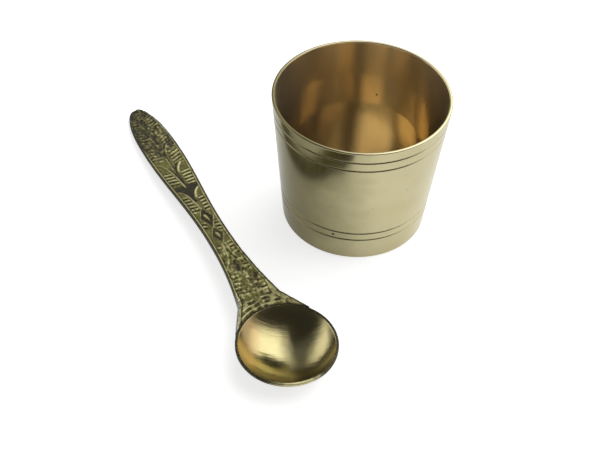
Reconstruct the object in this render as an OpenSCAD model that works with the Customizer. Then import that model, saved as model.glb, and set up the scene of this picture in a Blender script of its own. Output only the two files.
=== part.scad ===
// Panchpatra: a tapered water cup of turned brass, with its ritual spoon lying beside it.
// Millimetres, +Z up. The origin is the centre of the cup's foot, on the table.
// The spoon lies along Y to the left of the cup, with its bowl towards -Y.

/* [Cup] */
// Outer diameter of the rim
rim_d = 58; // [52:0.5:80]
// Outer diameter of the foot
foot_d = 49; // [36:0.5:52]
// Height of the cup
cup_h = 50; // [40:0.5:80]
// Thickness of the wall at the rim, measured level
cup_wall_t = 1.1; // [0.9:0.05:2.5]
// Thickness of the wall at the foot, measured level
foot_wall_t = 1.9; // [0.9:0.05:3.5]
// Radius that rounds the rim and the foot
edge_r = 0.4; // [0.2:0.05:0.45]
// Thickness of the floor disc
floor_t = 1.2; // [0.8:0.1:3]
// Width of the lip inside the foot that carries the floor
foot_lip_w = 1; // [0.6:0.1:3]
// Height of that lip, which is also the hollow under the floor
foot_lip_h = 0.8; // [0.7:0.1:2]

/* [Turned lines] */
// Width of a turned line
line_w = 0.8; // [0.4:0.05:1.2]
// Depth of a turned line
line_depth = 0.3; // [0.1:0.05:0.5]
// Drop of the upper pair's first line below the rim
upper_line_drop = 4; // [2:0.1:8]
// Distance between the two upper lines
upper_line_pitch = 3.6; // [1.5:0.1:8]
// Height of the lower pair's first line above the foot
lower_line_rise = 9.2; // [3:0.1:14]
// Distance between the two lower lines
lower_line_pitch = 3.2; // [1.5:0.1:8]

/* [Spoon bowl] */
// Outer diameter of the bowl at its lip
bowl_d = 31.5; // [26:0.5:36]
// Height of the lip's top above the table
bowl_h = 8.5; // [6:0.1:11]
// Thickness of the bowl's wall
bowl_wall_t = 0.7; // [0.6:0.1:2]
// Thickness of the lip
lip_t = 1; // [0.6:0.1:2.2]
// Depth of the flat worn under the bowl
worn_depth = 0.1; // [0.05:0.01:0.3]

/* [Spoon handle] */
// Distance from the bowl's centre to the handle's tip
handle_reach = 129.7; // [110:0.5:160]
// Thickness of the handle at the neck, beside the bowl
neck_t = 2.8; // [2.4:0.1:4]
// Thickness of the handle at its tip
tip_t = 1.8; // [1.2:0.1:3]
// Height of the border above the bowl's lip
handle_rise = 0.2; // [0:0.05:0.6]
// Width of the waist
waist_w = 7.8; // [6:0.1:10]
// Distance from the bowl's centre to the waist
waist_reach = 54; // [48:0.5:62]
// Width of the blade where it is broadest
blade_w = 12.9; // [10:0.1:16]
// Distance from the tip back to the broadest place
blade_back = 26.8; // [18:0.2:34]
// Width across the shoulders, where the handle spreads round the bowl
shoulder_w = 14.8; // [12:0.1:17]
// Distance from the bowl's centre to the shoulders
shoulder_reach = 19.6; // [18.6:0.1:24]
// Width of the blunt tip
tip_w = 1.6; // [0.8:0.1:3]
// Length of the flat under the tip that rests on the table
tip_rest = 4; // [2:0.5:10]
// Bevel along the edges of the underside
under_bevel = 0.5; // [0.2:0.1:1]

/* [Ornament] */
// Depth of the ground below the border and the ridges
relief_h = 0.5; // [0.2:0.05:0.8]
// Width of the plain border
border_w = 0.6; // [0.5:0.05:1.2]
// Width of a raised ridge at its foot
ridge_w = 0.9; // [0.5:0.05:1.2]
// Half width of the bare stem between two leaves
stem_w = 0.6; // [0.4:0.05:1]
// Width of a hatch rib at its foot
hatch_w = 0.7; // [0.4:0.05:0.9]
// Distance from one hatch rib to the next
hatch_pitch = 1.3; // [1:0.05:2.5]
// Leaf pairs from the waist to the bud at the tip
leaf_pairs = 4; // [3:1:6]
// Length of the bud's oval at the tip
bud_l = 7; // [4:0.2:9]
// Width of that oval
bud_w = 2.8; // [2:0.1:4]
// Length over which the ground rises to the border at the tip
tip_fade = 1.5; // [1:0.1:4]
// Distance from the bud's oval to the tip
bud_back = 6.2; // [4:0.2:9]
// Length of the larger lozenge at the waist
large_lozenge_l = 10.4; // [6:0.2:12]
// Length of the smaller lozenge at the waist
small_lozenge_l = 8.2; // [5:0.2:10]
// Distance from the waist forward to the point where the lozenges meet
lozenge_shift = 2; // [0:0.1:4]
// Width of the lozenges
lozenge_w = 4.4; // [3:0.1:5]
// Length of the oval on the neck
oval_l = 7; // [4:0.2:9]
// Width of the oval on the neck
oval_w = 3; // [2:0.1:4]
// Diameter of the rosette beside the bowl
rosette_d = 5.4; // [4:0.1:7]
// Petals of the rosette
petals = 8; // [5:1:12]
// Distance between the motifs of the neck
motif_gap = 2.8; // [0.4:0.1:4]
// Curved ridges beside the bowl
arc_count = 3; // [2:1:4]
// Distance from one curved ridge to the next
arc_pitch = 1.7; // [1.2:0.1:2.4]

/* [Solder] */
// Gap round the floor disc that the solder draws into
solder_gap = 0.05; // [0.02:0.01:0.1]
// Leg of the solder fillet under the floor
solder_leg = 0.6; // [0.3:0.05:0.65]
// Reach of the spoon's solder to each side of the handle, in degrees
solder_angle = 36; // [20:1:40]

/* [Placing] */
// Clear distance between the cup's rim and the spoon's bowl, across
spoon_gap = 6; // [2:0.1:20]
// Distance of the bowl's centre in front of the cup's axis
spoon_forward = 50.7; // [20:0.1:80]

/* [Hidden] */
$fn = 96;
EDGE_STEPS = 5;

// Cup: radii by height. The wall thickens from the rim to the foot.
function outer_r(z) = foot_d / 2 + (rim_d - foot_d) / 2 * z / cup_h;
function inner_r(z) = outer_r(z) - foot_wall_t - (cup_wall_t - foot_wall_t) * z / cup_h;
lip_r = inner_r(foot_lip_h) - foot_lip_w;
floor_top = foot_lip_h + floor_t;

// Points of a circular arc in the profile plane, from angle a0 to a1.
function arc_points(centre, r, a0, a1) =
    [for (i = [0:EDGE_STEPS])
        let (a = a0 + (a1 - a0) * i / EDGE_STEPS)
        centre + r * [cos(a), sin(a)]];

// The three points of a V-shaped turned line at height z.
function line_points(z) = [
    [outer_r(z - line_w / 2), z - line_w / 2],
    [outer_r(z) - line_depth, z],
    [outer_r(z + line_w / 2), z + line_w / 2]
];

line_heights = [
    lower_line_rise,
    lower_line_rise + lower_line_pitch,
    cup_h - upper_line_drop - upper_line_pitch,
    cup_h - upper_line_drop
];

// Spoon: the bowl is a cap of a sphere, standing on its small worn flat.
bowl_r = bowl_d / 2;
cap_h = bowl_h + worn_depth;
sphere_r = (bowl_r * bowl_r + cap_h * cap_h) / (2 * cap_h);
sphere_z = sphere_r - worn_depth;
hollow_r = sphere_r - bowl_wall_t;
lip_under = bowl_h - lip_t;
function wall_r(z) = sqrt(sphere_r * sphere_r - (sphere_z - z) * (sphere_z - z));
spoon_x = -(rim_d / 2 + spoon_gap + bowl_r);

// Handle: its end is a crescent round the lip, with straight shoulders that touch the round of the bowl.
lap_r = bowl_r + solder_gap;
neck_top = bowl_h + handle_rise;
neck_under = neck_top - neck_t;
blade_reach = handle_reach - blade_back;
shoulder = [shoulder_w / 2, shoulder_reach];
touch_angle = atan2(shoulder.x, shoulder.y) + acos(lap_r / norm(shoulder));
touch = lap_r * [sin(touch_angle), cos(touch_angle)];
// The horns of the crescent are cut short of the point where they would run out to nothing.
HORN_CUT = 0.2;
horn = touch + (shoulder - touch) * HORN_CUT;

// Half width, top, ground and underside of the handle at the distance s from the bowl's centre.
NECK_POWER = 2.2;
TIP_POWER = 2.6;
TIP_ROUND = 0.53;
BEND_POWER = 1.27;
TIP_DEPTH = 0.2;
function web_half(s) = horn.x + (shoulder.x - horn.x) * (s - horn.y) / (shoulder.y - horn.y);
function neck_half(s) =
    let (u = (waist_reach - s) / (waist_reach - shoulder_reach))
    waist_w / 2 + (shoulder_w - waist_w) / 2 * pow(u, NECK_POWER);
function blade_half(s) =
    waist_w / 2 + (blade_w - waist_w) / 4 * (1 - cos(180 * (s - waist_reach) / (blade_reach - waist_reach)));
function tip_half(s) =
    let (u = min(1, (s - blade_reach) / blade_back))
    tip_w / 2 + (blade_w - tip_w) / 2 * pow(1 - pow(u, TIP_POWER), TIP_ROUND);
function half_w(s) =
    s < shoulder_reach ? web_half(s) :
    s < waist_reach ? neck_half(s) :
    s < blade_reach ? blade_half(s) :
    tip_half(s);
function along(s) = max(0, min(1, (s - shoulder_reach) / (handle_reach - tip_rest - shoulder_reach)));
function top_z(s) = neck_top + (tip_t - neck_top) * pow(along(s), BEND_POWER);
function ground_z(s) = top_z(s) - relief_h * max(TIP_DEPTH, min(1, (handle_reach - s) / tip_fade));
function under_z(s) = top_z(s) - neck_t - (tip_t - neck_t) * along(s);

// The section across the handle: a border on each side of the sunk ground, and a bevelled underside.
BORDER_SHARE = 0.3;
BORDER_SLOPE = 0.3;
function border_at(s) = min(border_w, half_w(s) * BORDER_SHARE);
function field_w(s) = half_w(s) - border_at(s);
function section(s) =
    let (h = half_w(s), f = field_w(s), g = f - border_at(s) * BORDER_SLOPE)
    let (low = under_z(s), b = min(under_bevel, h / 2, (ground_z(s) - low) / 2))
    [
        [-h, top_z(s)], [-f, top_z(s)], [-g, ground_z(s)],
        [g, ground_z(s)], [f, top_z(s)], [h, top_z(s)],
        [h, low + b], [h - b, low], [b - h, low], [-h, low + b]
    ];

// Distances of the sections, with closer ones where the tip rounds off.
NECK_ROWS = 20;
BLADE_ROWS = 20;
TIP_ROWS = 14;
rows = concat(
    [horn.y],
    [for (i = [0:NECK_ROWS - 1]) shoulder_reach + (waist_reach - shoulder_reach) * i / NECK_ROWS],
    [for (i = [0:BLADE_ROWS - 1]) waist_reach + (blade_reach - waist_reach) * i / BLADE_ROWS],
    [for (i = [0:TIP_ROWS]) blade_reach + blade_back * sin(90 * i / TIP_ROWS)]);

// Places of the motifs, from the tip to the bowl.
bud_at = handle_reach - bud_back - bud_l / 2;
lozenge_cross = waist_reach + lozenge_shift;
leaf_start = lozenge_cross + large_lozenge_l;
leaf_pitch = (bud_at - bud_l / 2 - leaf_start) / leaf_pairs;
lozenge_end = lozenge_cross - small_lozenge_l;
function arc_r(i) = lap_r + arc_pitch * (i + 0.5);
rosette_at = arc_r(arc_count - 1) + ridge_w + motif_gap + rosette_d / 2;
oval_at = rosette_at + rosette_d / 2 + motif_gap + oval_l / 2;
neck_leaf_l = lozenge_end - oval_at;

// A leaf starts on the stem at its root and curves out to the border.
// The sign toward is 1 for a leaf that points to the tip and -1 for one that points to the bowl.
LEAF_CURVE = 2.4;
LEAF_OVERLAP = 1.2;
LEAF_STEPS = 7;
function leaf_edge(s, root, len, toward) =
    stem_w + (field_w(s) - stem_w) * pow(max(0, (s - root) * toward / len), LEAF_CURVE);
function leaf_points(root, len, side, toward) =
    [for (i = [0:LEAF_STEPS])
        let (s = root + toward * len * i / LEAF_STEPS)
        [side * leaf_edge(s, root, len, toward), s]];
function oval_points(at, len, width, steps) =
    [for (i = [0:steps])
        [width / 2 * sin(360 * i / steps), at + len / 2 * cos(360 * i / steps)]];
// Half the angle that a curved ridge of radius r spans between the borders of the crescent.
function arc_angle(r) = touch_angle - acos((lap_r - border_w) / r);
function arc_ridge(r, steps) =
    [for (i = [-steps:steps])
        r * [sin(arc_angle(r) * i / steps), cos(arc_angle(r) * i / steps)]];

// Tapered wall, turned outside and in, with two pairs of lines and a lip inside the foot.
module cup_wall() {
    color("#b8ad7a")
        rotate_extrude()
            polygon(concat(
                [[lip_r, 0]],
                arc_points([outer_r(0) - edge_r, edge_r], edge_r, -90, 0),
                [for (z = line_heights) each line_points(z)],
                arc_points([outer_r(cup_h) - edge_r, cup_h - edge_r], edge_r, 0, 90),
                arc_points([inner_r(cup_h) + edge_r, cup_h - edge_r], edge_r, 90, 180),
                [[inner_r(foot_lip_h), foot_lip_h], [lip_r, foot_lip_h]]));
}

// Floor disc, dropped in from above on to the lip, its edge turned to the wall's taper.
module cup_floor() {
    color("#a98f56")
        rotate_extrude()
            polygon([
                [0, foot_lip_h],
                [inner_r(foot_lip_h) - solder_gap, foot_lip_h],
                [inner_r(floor_top) - solder_gap, floor_top],
                [0, floor_top]
            ]);
}

// Solder fillet in the corner under the floor, inside the lip.
module floor_solder() {
    color("#b9b6a6")
        rotate_extrude()
            polygon([
                [lip_r, foot_lip_h],
                [lip_r - solder_leg, foot_lip_h],
                [lip_r, foot_lip_h - solder_leg]
            ]);
}

// Raised bowl: a cap of a sphere with a thicker level lip.
module spoon_bowl() {
    color("#cdbf86")
        translate([spoon_x, -spoon_forward, 0])
            difference() {
                union() {
                    intersection() {
                        translate([0, 0, sphere_z])
                            sphere(r = sphere_r);
                        cylinder(r = bowl_r, h = bowl_h);
                    }
                    translate([0, 0, lip_under])
                        cylinder(r = bowl_r, h = lip_t);
                }
                translate([0, 0, sphere_z])
                    sphere(r = hollow_r);
            }
}

// A solid skinned over sections that have as many points each, placed along Y.
module loft(sections, reaches) {
    n = len(sections[0]);
    last = len(reaches) - 1;
    polyhedron(
        points = [for (i = [0:last], p = sections[i]) [p.x, reaches[i], p.y]],
        faces = concat(
            [[for (j = [0:n - 1]) j]],
            [[for (j = [n - 1:-1:0]) last * n + j]],
            [for (i = [0:last - 1], j = [0:n - 1])
                let (k = (j + 1) % n, a = i * n, b = a + n)
                each [[a + j, b + j, b + k], [a + j, b + k, a + k]]]));
}

// A raised ridge through points of the plan: a chain of low cones with draft, each standing on the ground.
BEAD_SIDES = 6;
BEAD_TOP = 0.4;
BITE = 0.2;
RIDGE_HEIGHT = 0.92;
module bead(p, width, height) {
    translate([p.x, p.y, ground_z(p.y) - BITE])
        cylinder(d1 = width, d2 = width * BEAD_TOP, h = relief_h * height + BITE, $fn = BEAD_SIDES);
}

module ridge(points, width = ridge_w, height = RIDGE_HEIGHT) {
    for (i = [0:len(points) - 2])
        hull() {
            bead(points[i], width, height);
            bead(points[i + 1], width, height);
        }
}

// A straight hatch rib across the handle at the distance s, from the width w0 out to w1.
HATCH_HEIGHT = 0.75;
module hatch(s, side, w0, w1) {
    if (w1 - w0 > hatch_w)
        ridge([[side * w0, s], [side * w1, s]], hatch_w, HATCH_HEIGHT);
}

// Hatch ribs along the border from one distance to another.
module hatch_row(from, to, side, len) {
    for (s = [from:hatch_pitch:to])
        hatch(s, side, field_w(s) - len, field_w(s));
}

// A leaf: its edge is a ridge, and ribs hatch the blade between that edge and the border.
HATCH_FROM = 0.2;
HATCH_TO = 0.75;
module leaf(root, len, side, toward) {
    ridge(leaf_points(root, len, side, toward));
    for (d = [len * HATCH_FROM:hatch_pitch:len * HATCH_TO])
        let (s = root + toward * d)
            hatch(s, side, leaf_edge(s, root, len, toward) + ridge_w, field_w(s));
}

// A lozenge of four ridges round a drop-shaped bud.
DROP = 0.16;
DROP_HEAD = 1.4;
DROP_TAIL = 0.7;
module lozenge(from, len) {
    mid = from + len / 2;
    for (side = [-1, 1])
        ridge([[0, from], [side * lozenge_w / 2, mid], [0, from + len]]);
    hull() {
        bead([0, mid + len * DROP], ridge_w * DROP_HEAD, RIDGE_HEIGHT);
        bead([0, mid - len * DROP], ridge_w * DROP_TAIL, RIDGE_HEIGHT);
    }
}

RING_STEPS = 14;
PETAL_IN = 0.4;
module rosette(at) {
    ridge(oval_points(at, rosette_d, rosette_d, RING_STEPS), hatch_w);
    for (i = [0:petals - 1])
        let (ray = rosette_d / 2 * [sin(360 * i / petals), cos(360 * i / petals)])
            ridge([[0, at] + PETAL_IN * ray, [0, at] + ray], hatch_w, HATCH_HEIGHT);
}

// Curved ridges round the bowl, with ribs between the two nearest to it.
ARC_STEPS = 7;
module arcs() {
    for (i = [0:arc_count - 1])
        ridge(arc_ridge(arc_r(i), ARC_STEPS));
    for (a = [-ARC_STEPS:ARC_STEPS])
        let (turn = arc_angle(arc_r(1)) * a / ARC_STEPS)
            ridge([for (i = [0, 1]) arc_r(i) * [sin(turn), cos(turn)]], hatch_w, HATCH_HEIGHT);
}

// The relief: bud at the tip, leaf pairs, two lozenges, a leaf pair, an oval, a rosette and the arcs.
EDGE_HATCH = 0.4;
module relief() {
    ridge(oval_points(bud_at, bud_l, bud_w, RING_STEPS));
    for (i = [0:leaf_pairs - 1], side = [-1, 1])
        leaf(leaf_start + i * leaf_pitch, leaf_pitch * LEAF_OVERLAP, side, 1);
    lozenge(lozenge_cross, large_lozenge_l);
    lozenge(lozenge_end, small_lozenge_l);
    ridge(oval_points(oval_at, oval_l, oval_w, RING_STEPS));
    rosette(rosette_at);
    arcs();
    for (side = [-1, 1]) {
        leaf(lozenge_end, neck_leaf_l, side, -1);
        hatch_row(bud_at - bud_l / 2 + hatch_pitch, bud_at + bud_l / 2, side, field_w(bud_at) * EDGE_HATCH);
        hatch_row(lozenge_cross - hatch_pitch, lozenge_cross + hatch_pitch, side, waist_w / 2 * EDGE_HATCH);
        hatch_row(rosette_at - rosette_d / 4, oval_at, side, waist_w / 2 * EDGE_HATCH);
    }
}

// Cast handle: a lofted body with the relief on its ground, its crescent end cut round the bowl's lip.
module spoon_handle() {
    color("#77703f")
        translate([spoon_x, -spoon_forward, 0])
            difference() {
                union() {
                    loft([for (s = rows) section(s)], rows);
                    relief();
                }
                cylinder(r = lap_r / cos(180 / $fn), h = neck_top * 2);
            }
}

// Solder in the corner between the bowl's wall, its lip and the crescent, flush with the handle's underside.
module spoon_solder() {
    color("#b9b6a6")
        translate([spoon_x, -spoon_forward, 0])
            difference() {
                rotate([0, 0, 90 - solder_angle])
                    rotate_extrude(angle = 2 * solder_angle)
                        polygon([
                            [wall_r(neck_under), neck_under],
                            [lap_r, neck_under],
                            [lap_r, lip_under],
                            [wall_r(lip_under), lip_under]
                        ]);
                translate([0, 0, sphere_z])
                    sphere(r = sphere_r);
            }
}

cup_wall();
cup_floor();
floor_solder();
spoon_bowl();
spoon_handle();
spoon_solder();
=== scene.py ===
"""Panchpatra in brass: a turned water cup and its ritual spoon, dressed for a studio picture.

Sizes in the classes below are in millimetres and become metres as a mesh is made.
Along the handle, s is the distance from the bowl's centre and w the distance from the centre line.
"""

import logging
import math
from dataclasses import dataclass
from enum import Enum, IntEnum
from typing import Callable, Sequence

import bmesh
import bpy
import numpy as np
from mathutils import Matrix, Vector, noise

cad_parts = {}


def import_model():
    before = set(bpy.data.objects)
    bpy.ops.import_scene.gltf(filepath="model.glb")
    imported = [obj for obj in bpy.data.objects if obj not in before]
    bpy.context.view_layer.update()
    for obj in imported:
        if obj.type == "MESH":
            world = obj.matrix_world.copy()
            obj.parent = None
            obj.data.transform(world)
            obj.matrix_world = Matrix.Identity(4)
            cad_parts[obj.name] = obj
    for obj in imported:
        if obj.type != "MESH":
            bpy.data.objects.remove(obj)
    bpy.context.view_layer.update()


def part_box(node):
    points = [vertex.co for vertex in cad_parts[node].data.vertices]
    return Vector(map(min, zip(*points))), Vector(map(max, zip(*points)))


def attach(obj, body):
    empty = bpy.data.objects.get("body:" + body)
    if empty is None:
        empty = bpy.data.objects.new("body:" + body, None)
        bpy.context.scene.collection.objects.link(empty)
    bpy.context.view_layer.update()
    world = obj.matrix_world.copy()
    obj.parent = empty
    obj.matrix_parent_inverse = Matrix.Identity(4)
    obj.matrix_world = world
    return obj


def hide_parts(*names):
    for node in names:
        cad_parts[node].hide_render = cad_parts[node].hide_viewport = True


MM = 0.001
MERGE = 1e-7
TINY = 1e-6
ORIGIN = (0.0, 0.0, 0.0)
UP = (0.0, 0.0, 1.0)
LOG = logging.getLogger("panchpatra")

Colour = tuple[float, float, float, float]
Point = tuple[float, float]

WHITE: Colour = (1.0, 1.0, 1.0, 1.0)


def srgb(red: int, green: int, blue: int) -> Colour:
    """Turns a colour as seen on a screen, 0 to 255, into the linear colour that shaders use.

    Args:
        red: Red level.
        green: Green level.
        blue: Blue level.

    Returns:
        The linear colour with full alpha.
    """
    levels = [level / 255 for level in (red, green, blue)]
    linear = [v / 12.92 if v <= 0.04045 else ((v + 0.055) / 1.055) ** 2.4 for v in levels]
    return (linear[0], linear[1], linear[2], 1.0)


def direction(azimuth: float) -> Vector:
    """Gives the level unit vector towards an azimuth, in degrees from +Y towards +X."""
    turn = math.radians(azimuth)
    return Vector((math.sin(turn), math.cos(turn), 0.0))


def smooth_step(start: float, end: float, x: np.ndarray) -> np.ndarray:
    """Rises from 0 at start to 1 at end along a smooth curve.

    Args:
        start: Where the curve is 0.
        end: Where the curve is 1; it may lie before start.
        x: Where to read the curve.

    Returns:
        The curve's heights.
    """
    t = np.clip((x - start) / (end - start), 0.0, 1.0)
    return t * t * (3.0 - 2.0 * t)


class Value:
    """A number socket that takes part in Python expressions; every operator adds a Math node."""

    def __init__(self, tree: "ShaderTree", socket: bpy.types.NodeSocket) -> None:
        """Keeps the tree that new nodes go to and the socket that carries the number."""
        self.tree = tree
        self.socket = socket

    def __add__(self, other: "Value | float") -> "Value":
        """Adds."""
        return self.tree.math("ADD", self, other)

    __radd__ = __add__

    def __sub__(self, other: "Value | float") -> "Value":
        """Subtracts."""
        return self.tree.math("SUBTRACT", self, other)

    def __rsub__(self, other: float) -> "Value":
        """Subtracts from a plain number."""
        return self.tree.math("SUBTRACT", other, self)

    def __mul__(self, other: "Value | float") -> "Value":
        """Multiplies."""
        return self.tree.math("MULTIPLY", self, other)

    __rmul__ = __mul__

    def __truediv__(self, other: "Value | float") -> "Value":
        """Divides."""
        return self.tree.math("DIVIDE", self, other)

    def __pow__(self, other: float) -> "Value":
        """Raises to a power."""
        return self.tree.math("POWER", self, other)

    def largest(self, other: "Value | float") -> "Value":
        """Gives the larger of the two."""
        return self.tree.math("MAXIMUM", self, other)

    def step(self, start: float, end: float) -> "Value":
        """Rises from 0 at start to 1 at end along a smooth curve.

        Args:
            start: Where the curve is 0.
            end: Where the curve is 1; it may lie before start.

        Returns:
            The curve's height.
        """
        rising = end > start
        node = self.tree.add(
            "ShaderNodeMapRange",
            {"interpolation_type": "SMOOTHSTEP"},
            {
                "Value": self,
                "From Min": start if rising else end,
                "From Max": end if rising else start,
                "To Min": 0.0 if rising else 1.0,
                "To Max": 1.0 if rising else 0.0,
            },
        )
        return Value(self.tree, node.outputs[0])


class ShaderTree:
    """A node tree with one way to add a node."""

    MIX_FACTOR = 0
    MIX_A = 6
    MIX_B = 7
    MIX_RESULT = 2
    RING_ROUGHNESS = 0.65

    def __init__(self, tree: bpy.types.NodeTree) -> None:
        """Empties the tree and keeps it."""
        tree.nodes.clear()
        self.nodes = tree.nodes
        self.links = tree.links

    def add(
        self,
        kind: str,
        settings: dict[str, object] | None = None,
        inputs: dict[str | int, object] | None = None,
    ) -> bpy.types.Node:
        """Adds a node, sets it, then fills its sockets.

        Args:
            kind: The node's type.
            settings: Properties of the node by name.
            inputs: Numbers, colours, vectors or links for its sockets by name or place.

        Returns:
            The node.
        """
        node = self.nodes.new(kind)
        for name, setting in (settings or {}).items():
            setattr(node, name, setting)
        for name, given in (inputs or {}).items():
            socket = node.inputs[name]
            if isinstance(given, Value):
                self.links.new(given.socket, socket)
            elif isinstance(given, bpy.types.NodeSocket):
                self.links.new(given, socket)
            else:
                socket.default_value = given
        return node

    def math(self, operation: str, *terms: Value | float) -> Value:
        """Adds one Math node.

        Args:
            operation: The node's operation.
            *terms: Its inputs in order.

        Returns:
            The result.
        """
        node = self.add("ShaderNodeMath", {"operation": operation}, dict(enumerate(terms)))
        return Value(self, node.outputs[0])

    def mix(self, factor: Value | float, first: object, second: object) -> bpy.types.NodeSocket:
        """Mixes two colours.

        Args:
            factor: 0 for the first colour, 1 for the second.
            first: Colour or colour socket.
            second: Colour or colour socket.

        Returns:
            The mixed colour's socket.
        """
        node = self.add(
            "ShaderNodeMix",
            {"data_type": "RGBA"},
            {self.MIX_FACTOR: factor, self.MIX_A: first, self.MIX_B: second},
        )
        return node.outputs[self.MIX_RESULT]

    def place(self, centre: Sequence[float] = ORIGIN) -> bpy.types.NodeSocket:
        """Gives the place on the object, in millimetres from the pattern's centre.

        Args:
            centre: The pattern's centre, in millimetres.

        Returns:
            The vector's socket.
        """
        where = self.add("ShaderNodeTexCoord").outputs["Object"]
        origin = [c * MM for c in centre]
        centred = self.add("ShaderNodeVectorMath", {"operation": "SUBTRACT"}, {0: where, 1: origin})
        unit = [1 / MM] * len(origin)
        scaled = self.add("ShaderNodeVectorMath", {"operation": "MULTIPLY"}, {0: centred.outputs[0], 1: unit})
        return scaled.outputs[0]

    def split(self, vector: bpy.types.NodeSocket) -> tuple[Value, Value, Value]:
        """Gives the three numbers of a vector."""
        node = self.add("ShaderNodeSeparateXYZ", None, {0: vector})
        return tuple(Value(self, out) for out in node.outputs)

    def noise(
        self, vector: bpy.types.NodeSocket, size: float, detail: float = 2.0, roughness: float = 0.5
    ) -> Value:
        """Gives a cloudy pattern from 0 to 1.

        Args:
            vector: Place in millimetres.
            size: Size of a cloud in millimetres.
            detail: Number of finer layers.
            roughness: Weight of the finer layers.

        Returns:
            The pattern.
        """
        node = self.add(
            "ShaderNodeTexNoise",
            {"noise_dimensions": "3D"},
            {"Vector": vector, "Scale": 1.0 / size, "Detail": detail, "Roughness": roughness},
        )
        return Value(self, node.outputs[0])

    def rings(self, number: Value, size: float, detail: float = 3.0) -> Value:
        """Gives an uneven row of stripes from 0 to 1 along one number.

        Args:
            number: Distance in millimetres.
            size: Width of a stripe in millimetres.
            detail: Number of finer layers.

        Returns:
            The stripes.
        """
        node = self.add(
            "ShaderNodeTexNoise",
            {"noise_dimensions": "1D"},
            {"W": number, "Scale": 1.0 / size, "Detail": detail, "Roughness": self.RING_ROUGHNESS},
        )
        return Value(self, node.outputs[0])

    def join(self, x: Value, y: Value) -> bpy.types.NodeSocket:
        """Makes a flat vector from two numbers."""
        return self.add("ShaderNodeCombineXYZ", None, {0: x, 1: y}).outputs[0]

    def dot(self, vector: bpy.types.NodeSocket, axis: Vector) -> Value:
        """Gives the reach of a vector along an axis."""
        node = self.add("ShaderNodeVectorMath", {"operation": "DOT_PRODUCT"}, {0: vector, 1: axis})
        return Value(self, node.outputs["Value"])

    def attribute(self, name: str) -> Value:
        """Gives a number stored on the mesh."""
        node = self.add("ShaderNodeAttribute", {"attribute_name": name})
        return Value(self, node.outputs["Fac"])

    def bump(self, height: Value, depth: float, strength: float = 1.0) -> bpy.types.NodeSocket:
        """Turns a height from 0 to 1 into a normal.

        Args:
            height: The pattern.
            depth: Depth of the pattern in millimetres.
            strength: Weight of the bump.

        Returns:
            The normal's socket.
        """
        node = self.add(
            "ShaderNodeBump", None, {"Height": height, "Distance": depth * MM, "Strength": strength}
        )
        return node.outputs[0]

    def metal(self, inputs: dict[str | int, object]) -> bpy.types.NodeSocket:
        """Adds a Principled shader with these inputs and gives its socket."""
        return self.add("ShaderNodeBsdfPrincipled", None, inputs).outputs[0]


def new_material(name: str, build: Callable[[ShaderTree], bpy.types.NodeSocket]) -> bpy.types.Material:
    """Makes a material.

    Args:
        name: The material's name.
        build: Fills the node tree and returns the shader's socket.

    Returns:
        The material.
    """
    material = bpy.data.materials.new(name)
    material.use_nodes = True
    tree = ShaderTree(material.node_tree)
    shader = build(tree)
    tree.add("ShaderNodeOutputMaterial", None, {"Surface": shader})
    return material


@dataclass(frozen=True)
class Finish:
    """The finish of a surface, which fills a material's node tree."""

    name: str

    def shader(self, tree: ShaderTree) -> bpy.types.NodeSocket:
        """Fills the material's tree.

        Args:
            tree: The material's tree.

        Returns:
            The shader's socket.
        """
        raise NotImplementedError

    def material(self) -> bpy.types.Material:
        """Makes the material."""
        return new_material(self.name, self.shader)


class Turning(Enum):
    """How the rings of the lathe lie on a surface."""

    WALL = "stacked by height"
    FACE = "one round the other"


class Blur(Enum):
    """Which way a brushed surface smears what it mirrors, as the shader's turn of its tangent."""

    ALONG_RINGS = 0.0
    ACROSS_RINGS = 0.25


@dataclass(frozen=True)
class Pit:
    """A small hole in the casting, on the cup's wall."""

    angle: float
    height: float
    radius: float


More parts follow.
